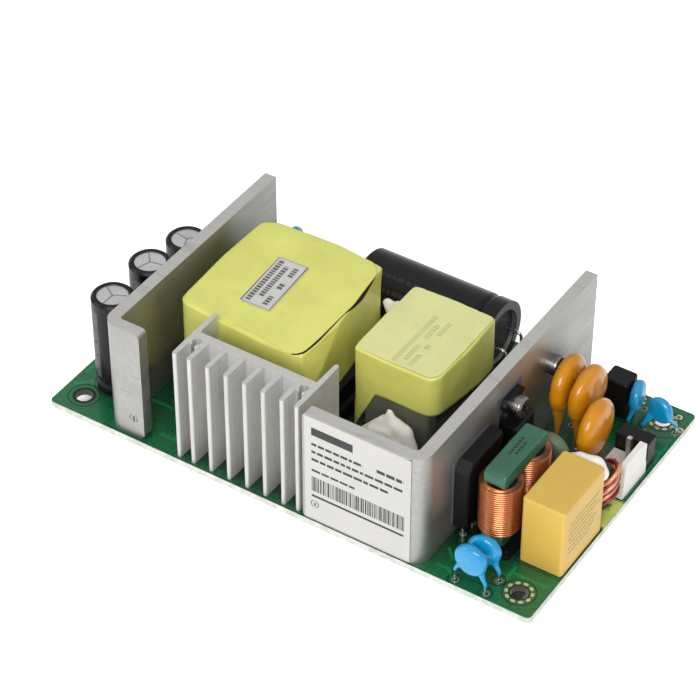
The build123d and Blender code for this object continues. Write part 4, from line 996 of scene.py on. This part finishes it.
def mound_piece(name, centre, strands, node, soft, under=-1.1):
    """A heap of sealant: a skin drawn over strands that run into one another, given from the board up."""
    board = Vector((0, 0, TOP))
    strands = [(board + Vector(a), board + Vector(b), ra, rb) for a, b, ra, rb in strands]
    c = board + Vector(centre)
    lowest = TOP + 0.05

    def field(p):
        total = sum(math.exp(-strand(p, *s) / soft) for s in strands)
        return -soft * math.log(max(total, 1e-300))

    rings = []
    for k in range(38):
        tilt = under + (QUARTER - 0.02 - under) * k / 37
        ring = []
        for a in circle(64):
            d = Vector((math.cos(tilt) * math.cos(a), math.cos(tilt) * math.sin(a), math.sin(tilt)))
            near, far = 0.5, 18.0
            for _ in range(13):
                mid = (near + far) / 2
                if field(c + d * mid) < 0:
                    near = mid
                else:
                    far = mid
            p = c + d * near
            ring.append((p.x, p.y, max(lowest, p.z)))
        rings.append(ring)
    verts, faces = skin(rings, True, True)
    verts = [(x, y, max(lowest, z)) for x, y, z in rough_up(verts, 0.12, 0.35, 2.0)]
    obj = piece(name, verts, faces, M["silicone"], "silicone", True)
    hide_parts(node)


mound_piece("silicone_front", (14.6, -16.8, 8.0), [
    ((14.2, -17.2, 2), (15.0, -17.0, 6), 7.0, 6.6), ((15.0, -17.0, 6), (15.4, -16.8, 12.6), 6.4, 3.0),
    ((8.4, -17.0, 9.0), (13.6, -16.4, 15.0), 1.8, 1.6), ((16.2, -16.6, 15.2), (18.6, -16.4, 13.8), 1.9, 2.0),
    ((18.6, -16.4, 13.8), (20.4, -17.2, 10.6), 2.0, 2.1), ((20.4, -17.2, 10.6), (21.2, -18.4, 7.4), 1.9, 1.8),
    ((14.6, -16.4, 15.6), (15.1, -16.4, 17.9), 1.7, 0.85),
    ((15.1, -16.4, 17.9), (14.7, -16.4, 19.0), 0.8, 0.35),
    ((8.6, -19.6, 10.0), (12.6, -20.2, 11.4), 1.7, 1.9), ((12.6, -20.2, 11.4), (16.6, -20.2, 11.2), 1.9, 1.9),
    ((16.6, -20.2, 11.2), (18.4, -18.8, 11.8), 1.8, 1.4), ((10.6, -20.8, 8.0), (16.0, -21.6, 8.0), 2.1, 2.2),
    ((16.0, -21.6, 8.0), (19.0, -20.2, 7.4), 2.0, 1.8), ((11.4, -18.2, 13.0), (15.6, -18.4, 14.0), 1.2, 1.3),
], "adhesive_front", 0.12)
mound_piece("silicone_middle", (-3.6, 16.6, 9.0), [
    ((-2.8, 15.2, 2), (-3.0, 15.6, 9), 3.2, 2.9), ((-3.0, 15.6, 9), (-4.2, 17.2, 13.6), 2.8, 2.0),
    ((-4.2, 17.4, 13.4), (-7.4, 18.0, 15.0), 1.9, 1.3), ((-5.4, 18.0, 15.0), (-4.4, 17.8, 16.4), 1.2, 0.8),
], "adhesive_middle", 0.25)
mound_piece("silicone_rear", (57.4, -4.3, 14.4), [
    ((52.4, -4.5, 14.2), (56.0, -4.4, 15.2), 1.5, 1.9), ((56.0, -4.4, 15.2), (59.6, -4.3, 15.6), 2.0, 2.1),
    ((59.6, -4.3, 15.6), (61.0, -4.2, 14.0), 2.0, 1.7), ((54.0, -3.6, 13.6), (60.4, -3.6, 13.6), 1.3, 1.5),
], "adhesive_rear", 0.3, -1.5)

# Floor: pale and lit a little by itself so that it reads as white. Under the board it carries a painted
# shadow, dark to the camera, and it is clear to all other rays, and seen from below it is clear, so that the
# underside shows.
floor_half, floor_z = 1600, -2.35
floor_data = bpy.data.meshes.new("floor")
floor_data.from_pydata([(x * floor_half * MM, y * floor_half * MM, floor_z * MM)
                        for x, y in ((-1, -1), (1, -1), (1, 1), (-1, 1))], [], [(0, 1, 2, 3)])
floor = bpy.data.objects.new("floor", floor_data)
scene.collection.objects.link(floor)
s = Shader("pale_floor")
grey = s.ramp(s.noise(3.0, 2.0), [(0.3, (0.93, 0.93, 0.93, 1)), (0.7, (0.96, 0.96, 0.96, 1))])
place = s.split(s.coord)
glow = s.maths("MAXIMUM", *[
    s.span(s.maths("ABSOLUTE", place[axis]), 0.0, 0.3, (half - 6.3) * MM, (half - 2.3) * MM)
    for axis, half in (("X", BOARD_X), ("Y", BOARD_Y))])
# painted shadow: under the board the floor's colour turns near black
painted_shadow_under_board = s.span(glow, 1.0, 0.0, 0.0, 0.3)
seen = s.add("ShaderNodeLightPath").outputs["Is Camera Ray"]
unseen = s.maths("SUBTRACT", 1.0, seen)
s.set(Base_Color=s.mix(painted_shadow_under_board, grey, (0.08, 0.08, 0.08, 1)), Roughness=0.9, Emission_Color=(1, 1, 1, 1),
      Emission_Strength=s.maths("MULTIPLY", glow, s.maths("MULTIPLY_ADD", seen, 1.1, 1.0)))
below = s.add("ShaderNodeNewGeometry").outputs["Backfacing"]
either = s.add("ShaderNodeMixShader")
s.link(s.maths("MAXIMUM", below, s.maths("MULTIPLY", painted_shadow_under_board, unseen)), either.inputs["Fac"])
s.link(s.bsdf.outputs["BSDF"], either.inputs[1])
s.link(s.add("ShaderNodeBsdfTransparent").outputs["BSDF"], either.inputs[2])
s.link(either.outputs["Shader"], s.tree.nodes["Material Output"].inputs["Surface"])
floor_data.materials.append(s.mat)
floor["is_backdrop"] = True

# World: a white backdrop for the camera and a soft even light for everything else
world = bpy.data.worlds.new("studio")
scene.world = world
world.use_nodes = True
add, link = world.node_tree.nodes.new, world.node_tree.links.new
world.node_tree.nodes.clear()
direction = add("ShaderNodeTexCoord")
parts = add("ShaderNodeSeparateXYZ")
height = add("ShaderNodeMapRange")
height.inputs["From Min"].default_value = -1
sky = add("ShaderNodeValToRGB")
for end, position, level in zip(sky.color_ramp.elements, (0.35, 0.9), (0.9, 0.98)):
    end.position = position
    end.color = (level, level, level, 1)
soft = add("ShaderNodeBackground")
soft.inputs["Strength"].default_value = 0.62
backdrop = add("ShaderNodeBackground")
backdrop.inputs["Color"].default_value = (1, 1, 1, 1)
ray = add("ShaderNodeLightPath")
either = add("ShaderNodeMixShader")
out = add("ShaderNodeOutputWorld")
link(direction.outputs["Generated"], parts.inputs["Vector"])
link(parts.outputs["Z"], height.inputs["Value"])
link(height.outputs["Result"], sky.inputs["Fac"])
link(sky.outputs["Color"], soft.inputs["Color"])
link(ray.outputs["Is Camera Ray"], either.inputs["Fac"])
link(soft.outputs["Background"], either.inputs[1])
link(backdrop.outputs["Background"], either.inputs[2])
link(either.outputs["Shader"], out.inputs["Surface"])

# Lights and camera, in metres


def area(name, place, size, power, aim=(0, 0, 0.012)):
    data = bpy.data.lights.new(name, "AREA")
    data.shape = "RECTANGLE"
    data.size, data.size_y = size
    data.energy = power
    obj = bpy.data.objects.new(name, data)
    obj.location = place
    obj.rotation_euler = (Vector(aim) - Vector(place)).to_track_quat("-Z", "Y").to_euler()
    scene.collection.objects.link(obj)


area("key", (0.3, -0.68, 0.58), (0.55, 0.4), 5.1)
area("top", (-0.05, 0.12, 0.8), (0.8, 0.7), 0.3)
area("fill", (-0.6, -0.5, 0.34), (0.5, 0.35), 0.9)

# The camera's turn, tilt and roll, its distance and its shift are fitted to the board's corners in the photo
turn, tilt, roll = (math.radians(degrees) for degrees in (32.85545, 40.72953, 0.1045))
shift_right, shift_up, distance = -0.005048, 0.01324, 0.620371
back = Vector((math.sin(turn) * math.cos(tilt), -math.cos(turn) * math.cos(tilt), math.sin(tilt)))
level = Vector((0, 0, 1)).cross(back).normalized()
right = level * math.cos(roll) + back.cross(level) * math.sin(roll)
upward = back.cross(right)
eye = right * shift_right + upward * shift_up + back * distance + Vector((0, 0, TOP * MM))
cam_data = bpy.data.cameras.new("camera")
cam_data.sensor_width = 36
cam_data.lens = 139.52
cam_data.clip_start, cam_data.clip_end = 0.01, 10
cam = bpy.data.objects.new("camera", cam_data)
cam.matrix_world = Matrix.Translation(eye) @ Matrix((right, upward, back)).transposed().to_4x4()
scene.collection.objects.link(cam)
scene.camera = cam
scene.view_settings.view_transform = "Standard"

low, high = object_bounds()
